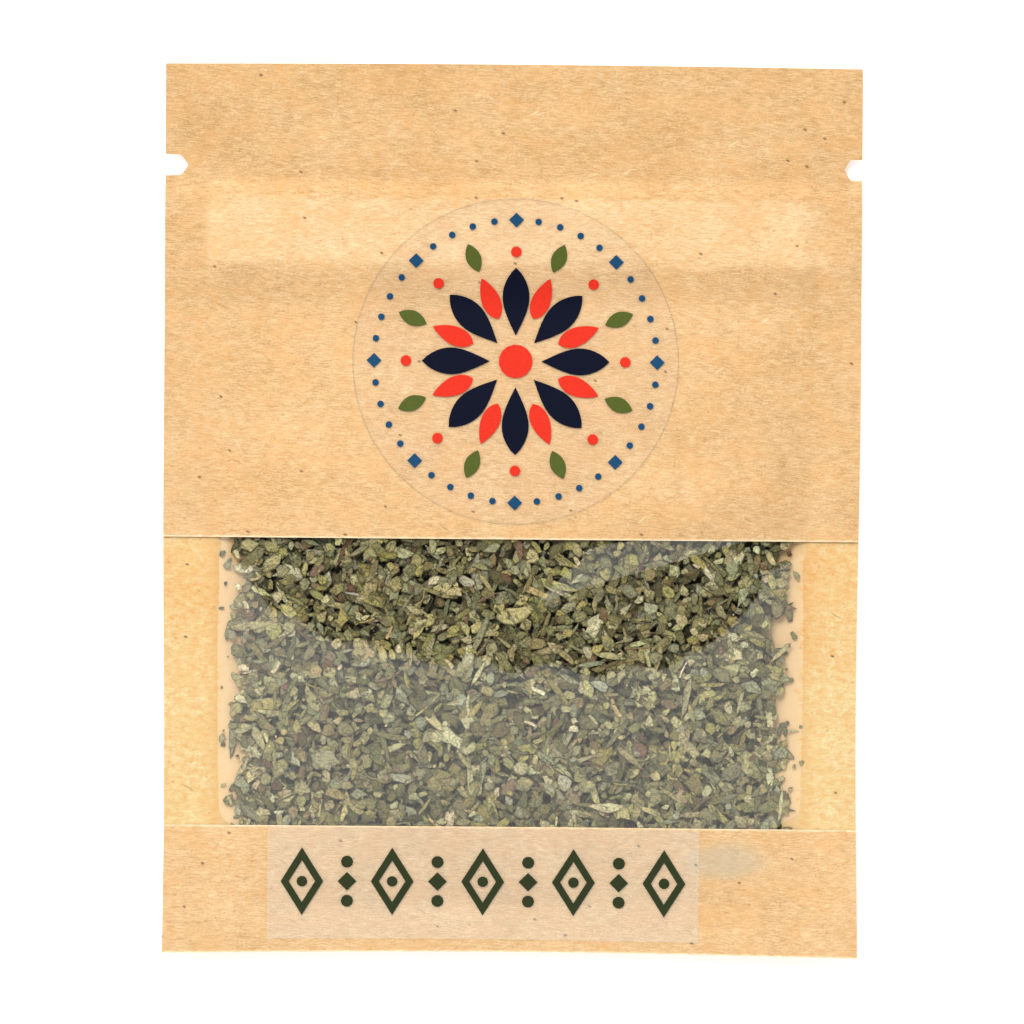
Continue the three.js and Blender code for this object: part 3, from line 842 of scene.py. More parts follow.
def closed_disc(centre, radius, under, over, rings, spokes):
    """Points and faces of a closed disc that follows two heights."""
    reach = np.linspace(0, 1, rings + 1)[1:, None] * radius
    angle = np.linspace(0, 2 * math.pi, spokes, endpoint=False)[None, :]
    x = np.append(centre[0], centre[0] + reach * np.cos(angle))
    y = np.append(centre[1], centre[1] + reach * np.sin(angle))
    points = two_layers(x, y, under, over)
    count = len(x)
    faces = []
    for k in range(spokes):
        after = (k + 1) % spokes
        fan = [0, 1 + k, 1 + after]
        faces += [fan[::-1], [v + count for v in fan]]
        for ring in range(rings - 1):
            a, b = 1 + ring * spokes + k, 1 + ring * spokes + after
            quad = [a, a + spokes, b + spokes, b]
            faces += [quad[::-1], [v + count for v in quad]]
        last = 1 + (rings - 1) * spokes
        faces.append([last + k, last + after, last + after + count, last + k + count])
    return points, faces


def turned(x, y, centre, angle):
    """Plan points turned about a centre."""
    dx, dy = x - centre[0], y - centre[1]
    return (
        centre[0] + dx * math.cos(angle) - dy * math.sin(angle),
        centre[1] + dx * math.sin(angle) + dy * math.cos(angle),
    )


ROUND_SPOKES = 200
ADHESIVE_RIM = 0.14  # how wide the adhesive's dark line round the sticker is
ADHESIVE_LIFT = 0.01


class HERBPACKET_OT_stickers(Operator):
    """Make the two clear stickers"""

    bl_idname = "herb_packet.stickers"
    bl_label = "Stickers"

    def execute(self, context):
        clear = label_film("clear_label_film", "#CFC8B8", cover=0.045)
        oozed = label_film("label_adhesive_edge", "#9C8A6C", cover=0.13)
        milky = label_film("frosted_label_film", "#E9ECE2", cover=0.11)
        points, faces = closed_disc(
            ROUND_CENTRE, ROUND_RADIUS, sticker_under, sticker_top, rings=44, spokes=ROUND_SPOKES
        )
        disc = make_object("round_sticker_film", points, faces, [clear])
        smooth(disc)
        belongs(disc, "clear_sticker", "round_sticker")
        rim = Print(sticker_top, lambda x, y: sticker_top(x, y) + ADHESIVE_LIFT)
        turns = np.linspace(0, 2 * math.pi, ROUND_SPOKES, endpoint=False)
        circle = np.stack([np.cos(turns), np.sin(turns)], axis=-1) * ROUND_RADIUS + ROUND_CENTRE
        rim.ring(circle, ROUND_CENTRE, 1 - ADHESIVE_RIM / ROUND_RADIUS)
        belongs(rim.make("round_sticker_rim", oozed), "clear_sticker")

        across = np.linspace(-NAME_SIZE[0] / 2, NAME_SIZE[0] / 2, 73) + NAME_CENTRE[0]
        along = np.linspace(-NAME_SIZE[1] / 2, NAME_SIZE[1] / 2, 20) + NAME_CENTRE[1]
        x, y = turned(*np.meshgrid(across, along), NAME_CENTRE, NAME_TURN)
        points, low, high, walls = closed_grid(x, y, sticker_under, sticker_top)
        faces = np.concatenate([low, high, walls]).tolist()
        strip = make_object("name_sticker_film", points, faces, [milky])
        smooth(strip)
        belongs(strip, "clear_sticker", "name_sticker")
        return {"FINISHED"}


INK_LIFT = 0.012
INK_THICK = 0.012


def ink_under(x, y):
    return sticker_top(x, y) + INK_LIFT


def ink_over(x, y):
    return ink_under(x, y) + INK_THICK


class Print:
    """Gathers the inked shapes of one colour into one mesh."""

    def __init__(self, under=ink_under, over=ink_over):
        self.points, self.faces, self.count = [], [], 0
        self.under, self.over = under, over

    def take(self, points, faces):
        self.points.append(points)
        self.faces += [[v + self.count for v in face] for face in faces]
        self.count += len(points)

    def dot(self, centre, radius):
        rings = max(1, round(radius / 0.6))
        spokes = max(10, round(radius * 9))
        self.take(*closed_disc(centre, radius, self.under, self.over, rings, spokes))

    def blade(self, centre, angle, near, far, width, power=1.0):
        """A pointed oval that lies along a ray from a centre. It is widest further out as power rises."""
        along = np.linspace(0, 1, 15)
        half = np.maximum(width / 2 * np.sin(math.pi * along**power) ** 0.8, 0.01)
        across = np.linspace(-1, 1, 6)
        reach, side = np.meshgrid(near + (far - near) * along, across)
        side = side * half[None, :]
        x = centre[0] + reach * math.cos(angle) - side * math.sin(angle)
        y = centre[1] + reach * math.sin(angle) + side * math.cos(angle)
        points, low, high, walls = closed_grid(x, y, self.under, self.over)
        self.take(points, np.concatenate([low, high, walls]).tolist())

    def lozenge(self, centre, width, height, hole=0.0):
        """A diamond, hollow where hole is more than 0."""
        corners = [(width / 2, 0), (0, height / 2), (-width / 2, 0), (0, -height / 2)]
        ring = []
        for (x0, y0), (x1, y1) in zip(corners, corners[1:] + corners[:1]):
            ring += [(x0 + (x1 - x0) * k / 5, y0 + (y1 - y0) * k / 5) for k in range(5)]
        self.ring([(centre[0] + x, centre[1] + y) for x, y in ring], centre, hole)

    def ring(self, outline, centre, hole):
        """The band between an outline and the same outline shrunk towards its centre."""
        outer = np.array(outline)
        shares = np.linspace(max(hole, 0.02), 1, 4)
        grid = np.array([np.array(centre) + (outer - np.array(centre)) * share for share in shares])
        rows, columns = grid.shape[:2]
        points = two_layers(grid[..., 0], grid[..., 1], self.under, self.over)
        total = rows * columns
        faces = []
        for k in range(columns):
            after = (k + 1) % columns
            for row in range(rows - 1):
                a, b = row * columns + k, row * columns + after
                quad = [a, a + columns, b + columns, b]
                faces += [quad[::-1], [v + total for v in quad]]
            last = (rows - 1) * columns
            faces.append([last + k, last + after, last + after + total, last + k + total])
            faces.append([after, k, k + total, after + total])
        self.take(points, faces)

    def make(self, name, material):
        made = make_object(name, np.concatenate(self.points), self.faces, [material])
        smooth(made)
        return made


# The rosette's petals and leaves, in millimetres from its middle
LONG_PETAL = {"near": 2.6, "far": 9.4, "width": 2.7, "power": 1.25}
SHORT_PETAL = {"near": 4.6, "far": 9.0, "width": 1.9, "power": 0.8}
LEAF_BLADE = {"near": 9.7, "far": 12.7, "width": 1.5}
HEART_RADIUS = 1.7
SEED_REACH, SEED_RADIUS = 11.0, 0.55
BEAD_REACH, BEAD_RADIUS, BEAD_DIAMOND = 14.2, 0.34, 1.5
# The row of lozenges, in millimetres
LOZENGE_STEP, LOZENGE_RISE = 4.55, 0.2
LARGE_LOZENGE = {"width": 4.3, "height": 6.9, "hole": 0.62}
SMALL_LOZENGE = {"width": 1.9, "height": 1.9}
PIP_AWAY, PIP_RADIUS = 2.0, 0.62


def on_ray(centre, angle, reach):
    return centre[0] + reach * math.cos(angle), centre[1] + reach * math.sin(angle)


class HERBPACKET_OT_prints(Operator):
    """Print a plain rosette on the round sticker and a row of lozenges on the lower one"""

    bl_idname = "herb_packet.prints"
    bl_label = "Prints"

    def execute(self, context):
        inks = settings().inks
        prints = {name: Print() for name in ("navy", "blue", "red", "green", "olive")}
        navy, blue, red, green, olive = prints.values()
        centre = ROUND_CENTRE
        red.dot(centre, HEART_RADIUS)
        for k in range(8):
            angle = math.radians(45 * k)
            between = angle + math.radians(22.5)
            navy.blade(centre, angle, **LONG_PETAL)
            red.blade(centre, between, **SHORT_PETAL)
            green.blade(centre, between, **LEAF_BLADE)
            red.dot(on_ray(centre, angle, SEED_REACH), SEED_RADIUS)
        for k in range(40):
            spot = on_ray(centre, math.radians(9 * k), BEAD_REACH)
            if k % 5:
                blue.dot(spot, BEAD_RADIUS)
            else:
                blue.lozenge(spot, BEAD_DIAMOND, BEAD_DIAMOND)
        for k in range(-4, 5):
            x, y = NAME_CENTRE[0] + LOZENGE_STEP * k, NAME_CENTRE[1] + LOZENGE_RISE
            if k % 2:
                olive.dot((x, y + PIP_AWAY), PIP_RADIUS)
                olive.dot((x, y - PIP_AWAY), PIP_RADIUS)
                olive.lozenge((x, y), **SMALL_LOZENGE)
            else:
                olive.lozenge((x, y), **LARGE_LOZENGE)
                olive.dot((x, y), SEED_RADIUS)
        for name, shapes in prints.items():
            material = label_ink(f"screen_ink_{name}", getattr(inks, name))
            belongs(shapes.make(f"print_{name}", material), "clear_sticker")
        return {"FINISHED"}


def closed_bar(section, start, end, steps):
    """Points and faces of a bar along X with a section of (y, z) points."""
    xs = np.linspace(start, end, steps)
    count = len(section)
    points = np.array([(x, y, z) for x in xs for y, z in section])
    faces = [list(range(count))[::-1], [k + (steps - 1) * count for k in range(count)]]
    for step in range(steps - 1):
        for k in range(count):
            a, b = step * count + k, step * count + (k + 1) % count
            faces.append([a, b, b + count, a + count])
    return points, faces


class HERBPACKET_OT_zip_tracks(Operator):
    """Make the two tracks of the press-to-close zip"""

    bl_idname = "herb_packet.zip_tracks"
    bl_label = "Zip Tracks"

    def execute(self, context):
        plastic = zip_plastic("extruded_polyethylene")
        gap, thick, root, inset = size_of("layer_gap"), 0.15, 0.05, 0.1
        rows = np.linspace(ZIP_Y - ZIP_HALF, ZIP_Y + ZIP_HALF, 9)
        xs = lines([-HALF_WIDTH + inset, -RIB_END, RIB_END, HALF_WIDTH - inset], 0.8)
        x, y = np.meshgrid(xs, rows)

        def back_low(x, y):
            return back_top(x, y) + gap

        def back_high(x, y):
            return back_low(x, y) + thick

        def front_high(x, y):
            return film_under(x, y) - gap

        def front_low(x, y):
            return front_high(x, y) - thick

        floor = float(back_high(0.0, ZIP_Y))
        ceiling = float(front_low(0.0, ZIP_Y))
        # The rib: its stem's and barbs' half widths, and how high its neck, barbs and tip are
        stem, barb, neck, shoulder, tip = 0.17, 0.3, 0.4, 0.42, 0.58
        arrow = [(-stem, -root), (stem, -root), (stem, neck), (barb, shoulder)]
        arrow += [(0.0, tip), (-barb, shoulder), (-stem, neck)]
        # The channel: how far out its wall's two faces and its lip are, and how deep the lip reaches
        wall, inside, lip, throat = 0.62, 0.4, 0.23, -0.27
        hook = [(wall, root), (inside, root), (inside, throat), (lip, -0.35), (lip, -0.47), (wall, -0.53)]
        ribs = {
            "zip_track_back": (back_low, back_high, [[(ZIP_Y + a, floor + b) for a, b in arrow]]),
            "zip_track_front": (
                front_low,
                front_high,
                [
                    [(ZIP_Y + a, ceiling + b) for a, b in hook],
                    [(ZIP_Y - a, ceiling + b) for a, b in hook[::-1]],
                ],
            ),
        }
        for name, (under, over, sections) in ribs.items():
            points, low, high, walls = closed_grid(x, y, under, over)
            faces = np.concatenate([low, high, walls]).tolist()
            for section in sections:
                more, bar = closed_bar(section, -RIB_END, RIB_END, 60)
                faces += [[v + len(points) for v in face] for face in bar]
                points = np.concatenate([points, more])
            made = make_object(name + "_profile", points, faces, [plastic])
            smooth(made, 30)
            belongs(made, "zip_plastic", name)
        return {"FINISHED"}


LEAF_SHADES = ("#8D8352", "#7F794B", "#998F5F", "#726E46", "#A3996B", "#858361", "#69623B", "#9E9356")
BROWN_SHADES = ("#6C5A38", "#7C6A45", "#6B4E34", "#8B7A4E")
PALE_SHADES = ("#C9B588", "#D8C8A2", "#B8A06A", "#E0CFA6")
DEPTHS = (0.08, 0.5, 0.95, 1.4, 1.7)
# Painted shade: each deeper layer of flakes is painted darker, for the shade of the flakes above it.
DEPTH_PAINTED_SHADE = (1.06, 0.64, 0.28, 0.14, 0.1)
LAYER_INSET = 0.9  # how much further in from the heap's border each deeper layer stops
STRAW_CENTRE = (2.5, -8.2)
# Painted light and shade: a flake is painted lighter in its middle and darker at its rim, for the shade round
# its edge.
PAINTED_MIDDLE_LIGHT, PAINTED_INNER_LIGHT = 1.08, 1.04
PAINTED_RIM_SHADE = 0.36  # painted shade at a flake's rim
# Painted shade: the core is painted near black, for the shade deep in the heap.
CORE_PAINTED_SHADE = "#2E2B1A"
SLIVER_SHARE = 0.16  # of the flakes that are long and narrow
CLEAR = 0.03  # between a bit of leaf and the sheets
SLOPE_STEP = 0.4  # over how much of the film a flake takes its slope from
STRAY_REACH = 29.3  # how far from the middle the crumbs beside the heap lie
STRAW_LONG, STRAW_WIDE, STRAW_SPIN = 2.5, 0.95, math.radians(-22)


def palette(rng, shades, count, spread=0.3):
    """Linear colours drawn from a list of hex shades, each a little lighter or darker than its shade."""
    colours = np.array([linear(shade) for shade in shades])
    picked = colours[rng.integers(0, len(shades), count)]
    light = np.clip(rng.normal(0, spread, (count, 1)), -0.8, 0.36)
    # The lighter bits are made greyer: partly paler, greyer undersides, partly a painted sheen.
    greyer = np.clip(light, 0, 0.5) * 0.6
    picked = picked * (1 - greyer) + picked[:, 1:2] * greyer
    picked[:, 2:] *= 1 + 0.3 * np.minimum(light, 0)
    return picked * np.exp(light) * np.exp(rng.normal(0, 0.03, (count, 3)))


def leaf_colours(rng, count, brown_share=0.08):
    """Colours for bits of leaf, a share of which are brown."""
    shades = palette(rng, LEAF_SHADES, count)
    brown = rng.uniform(size=count) < brown_share
    shades[brown] = palette(rng, BROWN_SHADES, int(brown.sum()))
    return shades


def heap_reach(y):
    """How far the heap reaches to its left and right at a height: its borders are ragged, with two bays."""
    left = 28.7 + 0.45 * np.sin(0.75 * y + 4.6) + 0.3 * np.sin(2.1 * y + 1)
    bays = 2.6 * np.exp(-(((y + 12.3) / 1.1) ** 2)) + 1.9 * np.exp(-(((y + 19.7) / 1.4) ** 2))
    return left, 28.9 + 0.4 * np.sin(1.7 * y) - bays


def scatter(rng, count, low_y, high_y, margins):
    """Places in the heap, spread evenly, whose bits stay inside its ragged borders by their margins."""
    aspect = (high_y - low_y) / (2 * POCKET_HALF)
    columns = max(1, round(math.sqrt(count / aspect)))
    rows = math.ceil(count / columns)
    cell = np.arange(count)
    share = (cell % columns + rng.uniform(-0.1, 1.1, count)) / columns
    y = low_y + (cell // columns + rng.uniform(-0.2, 1.2, count)) * (high_y - low_y) / rows
    left, right = heap_reach(y)
    ragged = margins + np.abs(rng.normal(0, 0.35, count))
    return np.stack([-left + ragged + np.clip(share, 0, 1) * (left + right - 2 * ragged), y], axis=-1)


def flake_faces(rim, per):
    """The triangles of one closed flake: a fan and a ring on each side, and the walls between."""
    faces = []
    for k in range(rim):
        after = (k + 1) % rim
        inner, inner_after = 1 + k, 1 + after
        outer, outer_after = 1 + rim + k, 1 + rim + after
        faces += [(0, inner, inner_after), (inner, outer, outer_after), (inner, outer_after, inner_after)]
        faces += [(per, per + inner_after, per + inner)]
        faces += [(per + inner, per + outer_after, per + outer)]
        faces += [(per + inner, per + inner_after, per + outer_after)]
        faces += [(outer, per + outer, per + outer_after), (outer, per + outer_after, outer_after)]
    return np.array(faces)


class Flakes:
    """Gathers torn leaf flakes: irregular, curled and folded plates, each a closed thin shell."""

    def __init__(self, rng):
        self.rng = rng
        self.points, self.faces, self.tints, self.count = [], [], [], 0

    def add(self, centres, depths, widths, stretch, tints, rim, tilt, crumple):
        rng, count = self.rng, len(centres)
        thick = settings().leaf.flake_thick / MM
        turn = (np.arange(rim)[None, :] + rng.uniform(-0.34, 0.34, (count, rim))) * 2 * math.pi / rim
        reach = rng.uniform(0.6, 1.2, (count, rim)) * (widths / 2)[:, None]
        longer = stretch[:, None]
        rim_u, rim_v = reach * np.cos(turn) * longer, reach * np.sin(turn) / longer**0.75
        middle = np.zeros((count, 1))
        inner = 0.8 + rng.normal(0, 0.04, (count, rim))
        u = np.concatenate([middle, rim_u * inner, rim_u], axis=1)
        v = np.concatenate([middle, rim_v * inner, rim_v], axis=1)
        size = widths[:, None]
        bend, roll = rng.normal(0, 0.2, (count, 1)) / size, rng.normal(0, 0.28, (count, 1)) / size
        fold = np.abs(rng.normal(0, 0.15, (count, 1)))
        w = bend * u * u + roll * v * v - fold * np.abs(v) + rng.normal(0, crumple, u.shape) * size
        w += 0.2 * fold * size
        spin = rng.uniform(0, 2 * math.pi, (count, 1))
        lean_x, lean_y = rng.normal(0, tilt, (count, 1)), rng.normal(0, tilt, (count, 1))
        dx = u * np.cos(spin) - v * np.sin(spin)
        dy = u * np.sin(spin) + v * np.cos(spin)
        cx, cy = centres[:, :1], centres[:, 1:]
        x, y = cx + dx, cy + dy
        step = SLOPE_STEP
        slope_x = (film_under(cx + step, cy) - film_under(cx - step, cy)) / (2 * step)
        slope_y = (film_under(cx, cy + step) - film_under(cx, cy - step)) / (2 * step)
        z = film_under(cx, cy) - depths[:, None] + dx * (slope_x + lean_x) + dy * (slope_y + lean_y) + w
        ceiling = film_under(x, y) - CLEAR
        floor = np.minimum(back_top(x, y) + CLEAR + rng.uniform(0, 0.3, (count, 1)), ceiling - thick)
        upper = np.clip(z + thick / 2, floor + thick, ceiling)
        lower = upper - thick
        per = u.shape[1]
        shell = [np.concatenate(pair, axis=1) for pair in ((x, x), (y, y), (upper, lower))]
        self.points.append(np.stack(shell, axis=-1).reshape(-1, 3))
        starts = self.count + np.arange(count) * 2 * per
        self.faces.append((flake_faces(rim, per)[None, :, :] + starts[:, None, None]).reshape(-1, 3))
        # Painted light and shade: lighter in the middle, darker at the rim.
        from_middle = np.array([PAINTED_MIDDLE_LIGHT] + [PAINTED_INNER_LIGHT] * rim + [PAINTED_RIM_SHADE] * rim)
        shaded = tints[:, None, :] * np.tile(from_middle, 2)[None, :, None]
        self.tints.append(shaded.reshape(-1, 3))
        self.count += count * 2 * per

    def make(self, name, material):
        made = make_object(name, np.concatenate(self.points), np.concatenate(self.faces).tolist(), [material])
        smooth(made, 18)
        paint_bits(made, np.concatenate(self.tints))
        belongs(made, "dried_leaf", "dried_leaf")


def paint_bits(made, tints):
    """Writes each point's own linear colour."""
    attribute = made.data.color_attributes.new("tint", "FLOAT_COLOR", "POINT")
    rgba = np.concatenate([np.clip(tints, 0, 1), np.ones((len(tints), 1))], axis=1)
    attribute.data.foreach_set("color", rgba.astype(np.float32).ravel())


def make_stalks(name, rng, centres, depths, lengths, widths, tints, spins, material, sides=6):
    """Bits of stalk: slim bars that taper and bend a little."""
    stations = 5
    points, faces, colours = [], [], []
    for centre, depth, long, wide, tint, spin in zip(centres, depths, lengths, widths, tints, spins):
        bow = rng.normal(0, 0.07) * long
        lean = rng.normal(0, 0.05)
        base = len(points)
        for s in range(stations):
            t = s / (stations - 1) * 2 - 1
            u, v = t * long / 2, bow * (1 - t * t)
            x0 = centre[0] + u * math.cos(spin) - v * math.sin(spin)
            y0 = centre[1] + u * math.sin(spin) + v * math.cos(spin)
            half = wide / 2 * (1 - 0.25 * (t + 1) / 2)
            rise = min(half * 0.8, 0.16)
            ceiling = float(film_under(x0, y0)) - CLEAR - rise
            z0 = min(ceiling, ceiling + CLEAR - depth + u * lean)
            z0 = max(z0, min(ceiling, float(back_top(x0, y0)) + rise + CLEAR))
            for k in range(sides):
                a = 2 * math.pi * (k + 0.5) / sides
                side = half * math.cos(a)
                height = z0 + rise * math.sin(a)
                points.append((x0 - side * math.sin(spin), y0 + side * math.cos(spin), height))
                colours.append(tint)
        for s in range(stations - 1):
            for k in range(sides):
                a, b = base + s * sides + k, base + s * sides + (k + 1) % sides
                faces.append([a + sides, b + sides, b, a])
        faces.append([base + k for k in range(sides)])
        faces.append([base + (stations - 1) * sides + k for k in range(sides)][::-1])
    made = make_object(name, np.array(points), faces, [material])
    smooth(made, 50)
    paint_bits(made, np.array(colours))
    belongs(made, "dried_leaf", "dried_leaf")


class HERBPACKET_OT_dried_leaf(Operator):
    """Fill the pocket with dried coriander leaf: a hidden core, flakes, crumbs and bits of stalk"""

    bl_idname = "herb_packet.dried_leaf"
    bl_label = "Dried Leaf"

    def execute(self, context):
        leaf = settings().leaf
        rng = np.random.default_rng(11)
        tissue = dried_plant("dried_coriander_leaf")
        low_y, high_y = WINDOW_LOW - 1.5, WINDOW_HIGH + 1.5
        self.make_core(tissue)
        smallest, largest = leaf.smallest / MM, leaf.largest / MM
        for layer in range(leaf.layers):
            flakes = Flakes(rng)
            count = leaf.flakes
            widths = smallest + (largest - smallest) * rng.beta(1.6, 3.0, count)
            sliver = rng.uniform(size=count) < SLIVER_SHARE
            stretch = np.where(sliver, rng.uniform(2.0, 3.0, count), rng.uniform(0.95, 1.6, count))
            inset = LAYER_INSET * layer
            centres = scatter(rng, count, low_y, high_y, widths * 0.45 + inset)
            depths = DEPTHS[layer] + rng.uniform(0, 0.42, count)
            # Painted shade: the deeper the layer, the darker its flakes.
            tints = leaf_colours(rng, count) * DEPTH_PAINTED_SHADE[layer]
            flakes.add(centres, depths, widths, stretch, tints, rim=7, tilt=0.16, crumple=0.022)
            count = leaf.leaflets
            widths = rng.uniform(1.5, 2.7, count)
            stretch = rng.uniform(1.0, 1.7, count)
            centres = scatter(rng, count, low_y, high_y, widths * 0.6 + inset)
            depths = DEPTHS[layer] + rng.uniform(0.05, 0.35, count)
            tints = leaf_colours(rng, count, 0.04) * DEPTH_PAINTED_SHADE[layer]
            flakes.add(centres, depths, widths, stretch, tints, rim=13, tilt=0.12, crumple=0.02)
            flakes.make(f"leaf_flakes_{layer + 1}", tissue)
        self.make_crumbs(rng, tissue, low_y, high_y)
        self.make_stalk_bits(rng, low_y, high_y)
        return {"FINISHED"}

    def make_crumbs(self, rng, tissue, low_y, high_y):
        """Crumbs between the flakes, and a few that lie apart on the margins."""
        leaf = settings().leaf
        crumbs = Flakes(rng)
        count = leaf.crumbs
        widths = rng.uniform(0.25, 0.7, count)
        centres = scatter(rng, count, low_y, high_y, widths * 0.5)
        tints = palette(rng, LEAF_SHADES + BROWN_SHADES + PALE_SHADES[2:3], count)
        ones = np.ones(count)
        crumbs.add(centres, rng.uniform(0.05, 1.0, count), widths, ones, tints, rim=5, tilt=0.5, crumple=0.05)
        count = leaf.strays
        y = rng.uniform(low_y + 2, high_y - 2, count)
        left, right = heap_reach(y)
        side = rng.uniform(size=count) < 0.5
        apart = rng.uniform(0.1, 1, count)
        x = np.where(side, -left - apart * (STRAY_REACH - left), right + apart * (STRAY_REACH - right))
        widths = rng.uniform(0.3, 0.85, count)
        tints = palette(rng, LEAF_SHADES, count) * 0.8
        places, depths, stretch = np.stack([x, y], axis=-1), np.full(count, 0.3), np.full(count, 1.2)
        crumbs.add(places, depths, widths, stretch, tints, rim=5, tilt=0.2, crumple=0.04)
        crumbs.make("leaf_crumbs", tissue)

    def make_stalk_bits(self, rng, low_y, high_y):
        """Bits of stalk, and a few paler bits of straw, the largest of them at a place of its own."""
        stalk = dried_plant("dried_coriander_stalk", vein=0.15, rough=0.6)
        count = settings().leaf.stalks
        lengths = rng.uniform(1.0, 3.4, count)
        centres = scatter(rng, count, low_y, high_y, np.full(count, 2.6))
        tints = palette(rng, LEAF_SHADES * 3 + BROWN_SHADES * 2 + PALE_SHADES[:1], count)
        make_stalks(
            "leaf_stalks",
            rng,
            centres,
            rng.uniform(0.05, 0.5, count),
            lengths,
            rng.uniform(0.18, 0.42, count),
            tints,
            rng.uniform(0, math.pi, count),
            stalk,
        )
        count = 9
        centres = scatter(rng, count, low_y + 2, high_y - 2, np.full(count, 4.0))
        centres[0] = STRAW_CENTRE
        lengths = rng.uniform(1.2, 2.4, count)
        lengths[0] = STRAW_LONG
        spins = rng.uniform(0, math.pi, count)
        spins[0] = STRAW_SPIN
        widths = rng.uniform(0.35, 0.6, count)
        widths[0] = STRAW_WIDE
        tints = palette(rng, PALE_SHADES[:3], count, spread=0.1)
        tints[0] = linear(PALE_SHADES[2])
        depths = np.full(count, CLEAR)
        make_stalks("straw_bits", rng, centres, depths, lengths, widths, tints, spins, stalk, sides=4)

    def make_core(self, tissue):
        """The heap's hidden body, a little under the lowest flakes and up against the paper strips, painted
        near black for the shade deep in the heap.
        """
        shares = np.linspace(0, 1, 110)
        ys = np.linspace(POCKET_LOW + 3, FILL_HIGH, 90)
        share, y = np.meshgrid(shares, ys)
        left, right = heap_reach(y)
        inset = LAYER_INSET * 3.4
        x = -left + inset + share * (left + right - 2 * inset)

        def low(x, y):
            return back_top(x, y) + 0.1

        def high(x, y):
            shown = band(WINDOW_LOW + 1, WINDOW_HIGH - 1, 2.0, y)
            depth = 0.35 + 1.25 * shown
            lumps = 0.12 * np.sin(x * 2.3 + 1.7 * np.sin(y * 1.9)) * np.cos(y * 2.1 + np.sin(x * 1.3))
            room = film_under(x, y) - low(x, y)
            return low(x, y) + np.maximum(0.06, np.minimum(room - depth + lumps, room - 0.12))

        points, lower, upper, walls = closed_grid(x, y, low, high)
        faces = np.concatenate([lower, upper, walls]).tolist()
        made = make_object("leaf_core", points, faces, [tissue])
        made.data.shade_smooth()
        paint_bits(made, np.tile(np.array(linear(CORE_PAINTED_SHADE)), (len(points), 1)))
        belongs(made, "dried_leaf", "dried_leaf")


TABLE_HALF, TABLE_THICK = 1500.0, 4.0  # millimetres
TABLE_GAP = 0.02 * MM  # keeps the packet's flat spot off the table's top
HORIZON = 0.001  # the lowest that a direction counts as rising
PATCH_EDGE = {"From Min": 0.97, "From Max": 1.03, "To Min": 0.02, "To Max": 1.0}
KEY_SIZE = 0.3
KEY_PLACE = (-0.16, 0.42, 0.66)
SENSOR_WIDTH = 36
SEEN_HEIGHT = 2 * MM  # the height over the table at which the frame width is measured
CAMERA_Y = -0.21 * MM
LENS_SHIFT = 0.0004


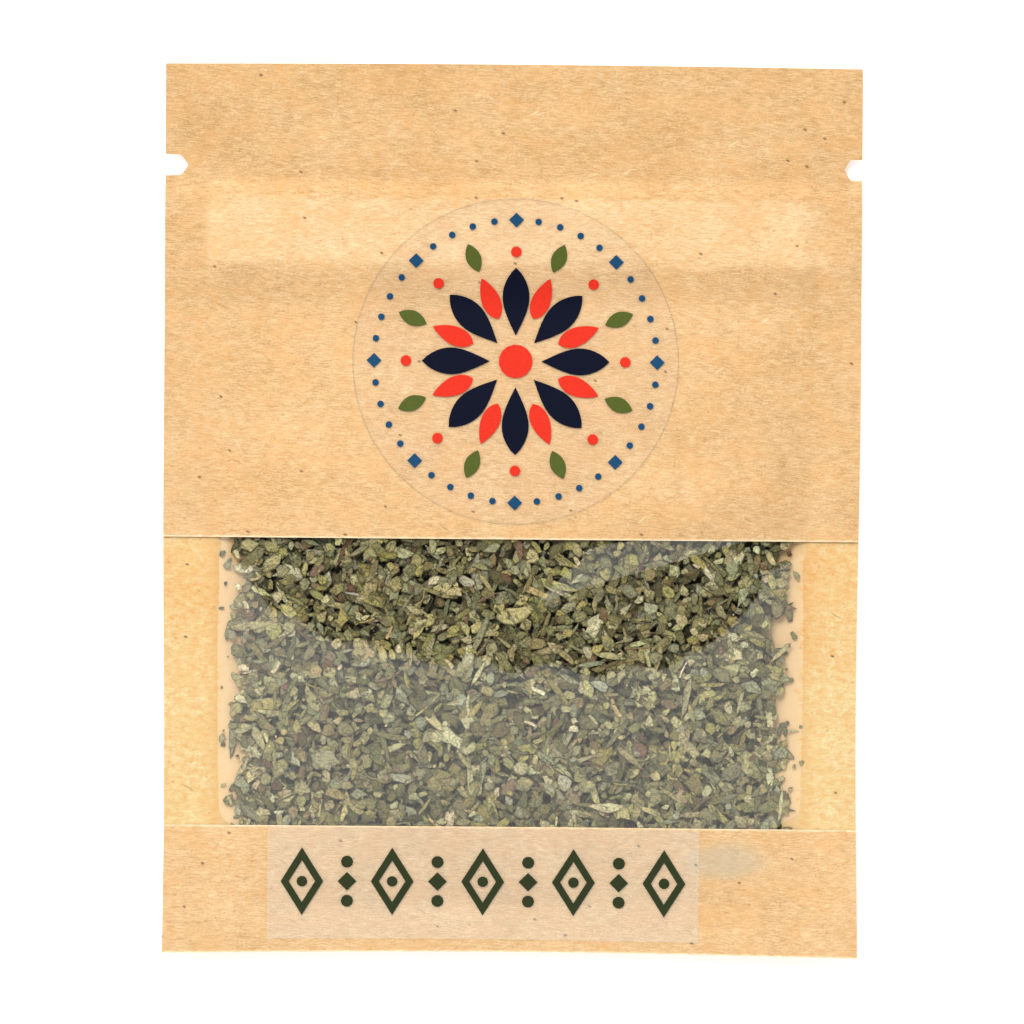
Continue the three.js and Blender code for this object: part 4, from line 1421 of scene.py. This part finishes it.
class HERBPACKET_OT_studio(Operator):
    """Set the plain floor, the soft light and the camera over the packet"""

    bl_idname = "herb_packet.studio"
    bl_label = "Studio"

    def execute(self, context):
        studio = settings().studio
        opal = light_table("opal_acrylic")
        half, corners = TABLE_HALF, ((-1, -1), (1, -1), (1, 1), (-1, 1))
        points = [(x * half, y * half, z) for z in (-TABLE_THICK, 0) for x, y in corners]
        faces = [[3, 2, 1, 0], [4, 5, 6, 7]] + [[k, (k + 1) % 4, (k + 1) % 4 + 4, k + 4] for k in range(4)]
        floor = make_object("light_table", points, faces, [opal])
        floor.location.z = -TABLE_GAP
        self.light_dome(studio.dome)
        self.key_light(studio.key)
        self.camera(studio)
        context.scene.view_settings.view_transform = "Standard"
        return {"FINISHED"}

    def light_dome(self, strength):
        """A pale dome, brighter at the head's left, with two dark patches overhead that the film mirrors."""
        world = bpy.data.worlds.new("pale_dome")
        world.use_nodes = True
        tree = world.node_tree
        tree.nodes.clear()
        way = add_node(tree, "TexCoord").outputs["Generated"]
        parts = add_node(tree, "SeparateXYZ", {"Vector": way}).outputs
        upward = add_node(tree, "Math", {0: parts["Z"], 1: HORIZON}, operation="MAXIMUM").outputs[0]

        def share(patch, axis):
            """How far a direction leans along an axis, from 0 at a patch's middle to 1 at its tip."""
            middle, below, above = patch[axis]
            flat = add_node(tree, "Math", {0: parts[axis], 1: upward}, operation="DIVIDE").outputs[0]
            moved = add_node(tree, "Math", {0: flat, 1: middle}, operation="SUBTRACT").outputs[0]
            down, up = (
                add_node(tree, "Math", {0: moved, 1: reach}, operation="DIVIDE").outputs[0]
                for reach in (-below, above)
            )
            return add_node(tree, "Math", {0: down, 1: up}, operation="MAXIMUM").outputs[0]

        kite, bar = (
            add_node(tree, "Math", {0: share(patch, "X"), 1: share(patch, "Y")}, operation=joined).outputs[0]
            for patch, joined in ((PATCH, "ADD"), (PATCH_BAR, "MAXIMUM"))
        )
        away = add_node(tree, "Math", {0: kite, 1: bar}, operation="MINIMUM").outputs[0]
        pale = add_node(tree, "MapRange", {"Value": away, **PATCH_EDGE}, **EASED).outputs["Result"]
        lean = add_node(tree, "VectorMath", {0: way, 1: DOME_LEAN}, operation="DOT_PRODUCT").outputs["Value"]
        power = add_node(tree, "Math", {0: lean, 1: 1.0}, operation="ADD").outputs[0]
        for factor in (pale, strength):
            power = add_node(tree, "Math", {0: power, 1: factor}, operation="MULTIPLY").outputs[0]
        sky = add_node(tree, "Background", {"Color": opaque(linear(WHITE)), "Strength": power})
        add_node(tree, "OutputWorld", {"Surface": sky.outputs["Background"]})
        bpy.context.scene.world = world

    def key_light(self, power):
        """A soft box beyond the packet's head, which models the flakes."""
        light = bpy.data.lights.new("soft_box", "AREA")
        light.energy = power
        light.size = KEY_SIZE
        lamp = bpy.data.objects.new("soft_box", light)
        lamp.location = KEY_PLACE
        aim = -lamp.location.normalized()
        lamp.rotation_euler = aim.to_track_quat("-Z", "Y").to_euler()
        bpy.context.scene.collection.objects.link(lamp)

    def camera(self, studio):
        """Straight above the packet, turned a little, as in the photograph."""
        lens = bpy.data.cameras.new("copy_stand_camera")
        lens.sensor_width = SENSOR_WIDTH
        lens.lens = SENSOR_WIDTH * studio.distance / studio.frame_width
        lens.shift_x = LENS_SHIFT
        lens.clip_start, lens.clip_end = 0.01, 10
        viewer = bpy.data.objects.new("copy_stand_camera", lens)
        viewer.location = (0, CAMERA_Y, studio.distance + SEEN_HEIGHT)
        viewer.rotation_euler = (0, 0, studio.roll)
        bpy.context.scene.collection.objects.link(viewer)
        bpy.context.scene.camera = viewer


STEPS = (
    HERBPACKET_OT_back_panel,
    HERBPACKET_OT_front_film,
    HERBPACKET_OT_paper_strips,
    HERBPACKET_OT_stickers,
    HERBPACKET_OT_prints,
    HERBPACKET_OT_zip_tracks,
    HERBPACKET_OT_dried_leaf,
    HERBPACKET_OT_studio,
)


class HERBPACKET_PT_panel(Panel):
    """Lists the packet's pieces"""

    bl_idname = "HERBPACKET_PT_panel"
    bl_label = "Herb packet"
    bl_space_type = "VIEW_3D"
    bl_region_type = "UI"
    bl_category = "Herb packet"

    def draw(self, context):
        for step in STEPS:
            self.layout.operator(step.bl_idname)


CLASSES = (
    PouchShape,
    PaperFinish,
    LeafMix,
    PrintInks,
    StudioSetup,
    HerbPacket,
    *STEPS,
    HERBPACKET_PT_panel,
)


def register():
    for cls in CLASSES:
        bpy.utils.register_class(cls)
    bpy.types.Scene.herb_packet = PointerProperty(type=HerbPacket)


def unregister():
    del bpy.types.Scene.herb_packet
    for cls in reversed(CLASSES):
        bpy.utils.unregister_class(cls)


def main():
    register()
    for step in STEPS:
        group, name = step.bl_idname.split(".")
        getattr(getattr(bpy.ops, group), name)()


if __name__ == "__main__":
    main()
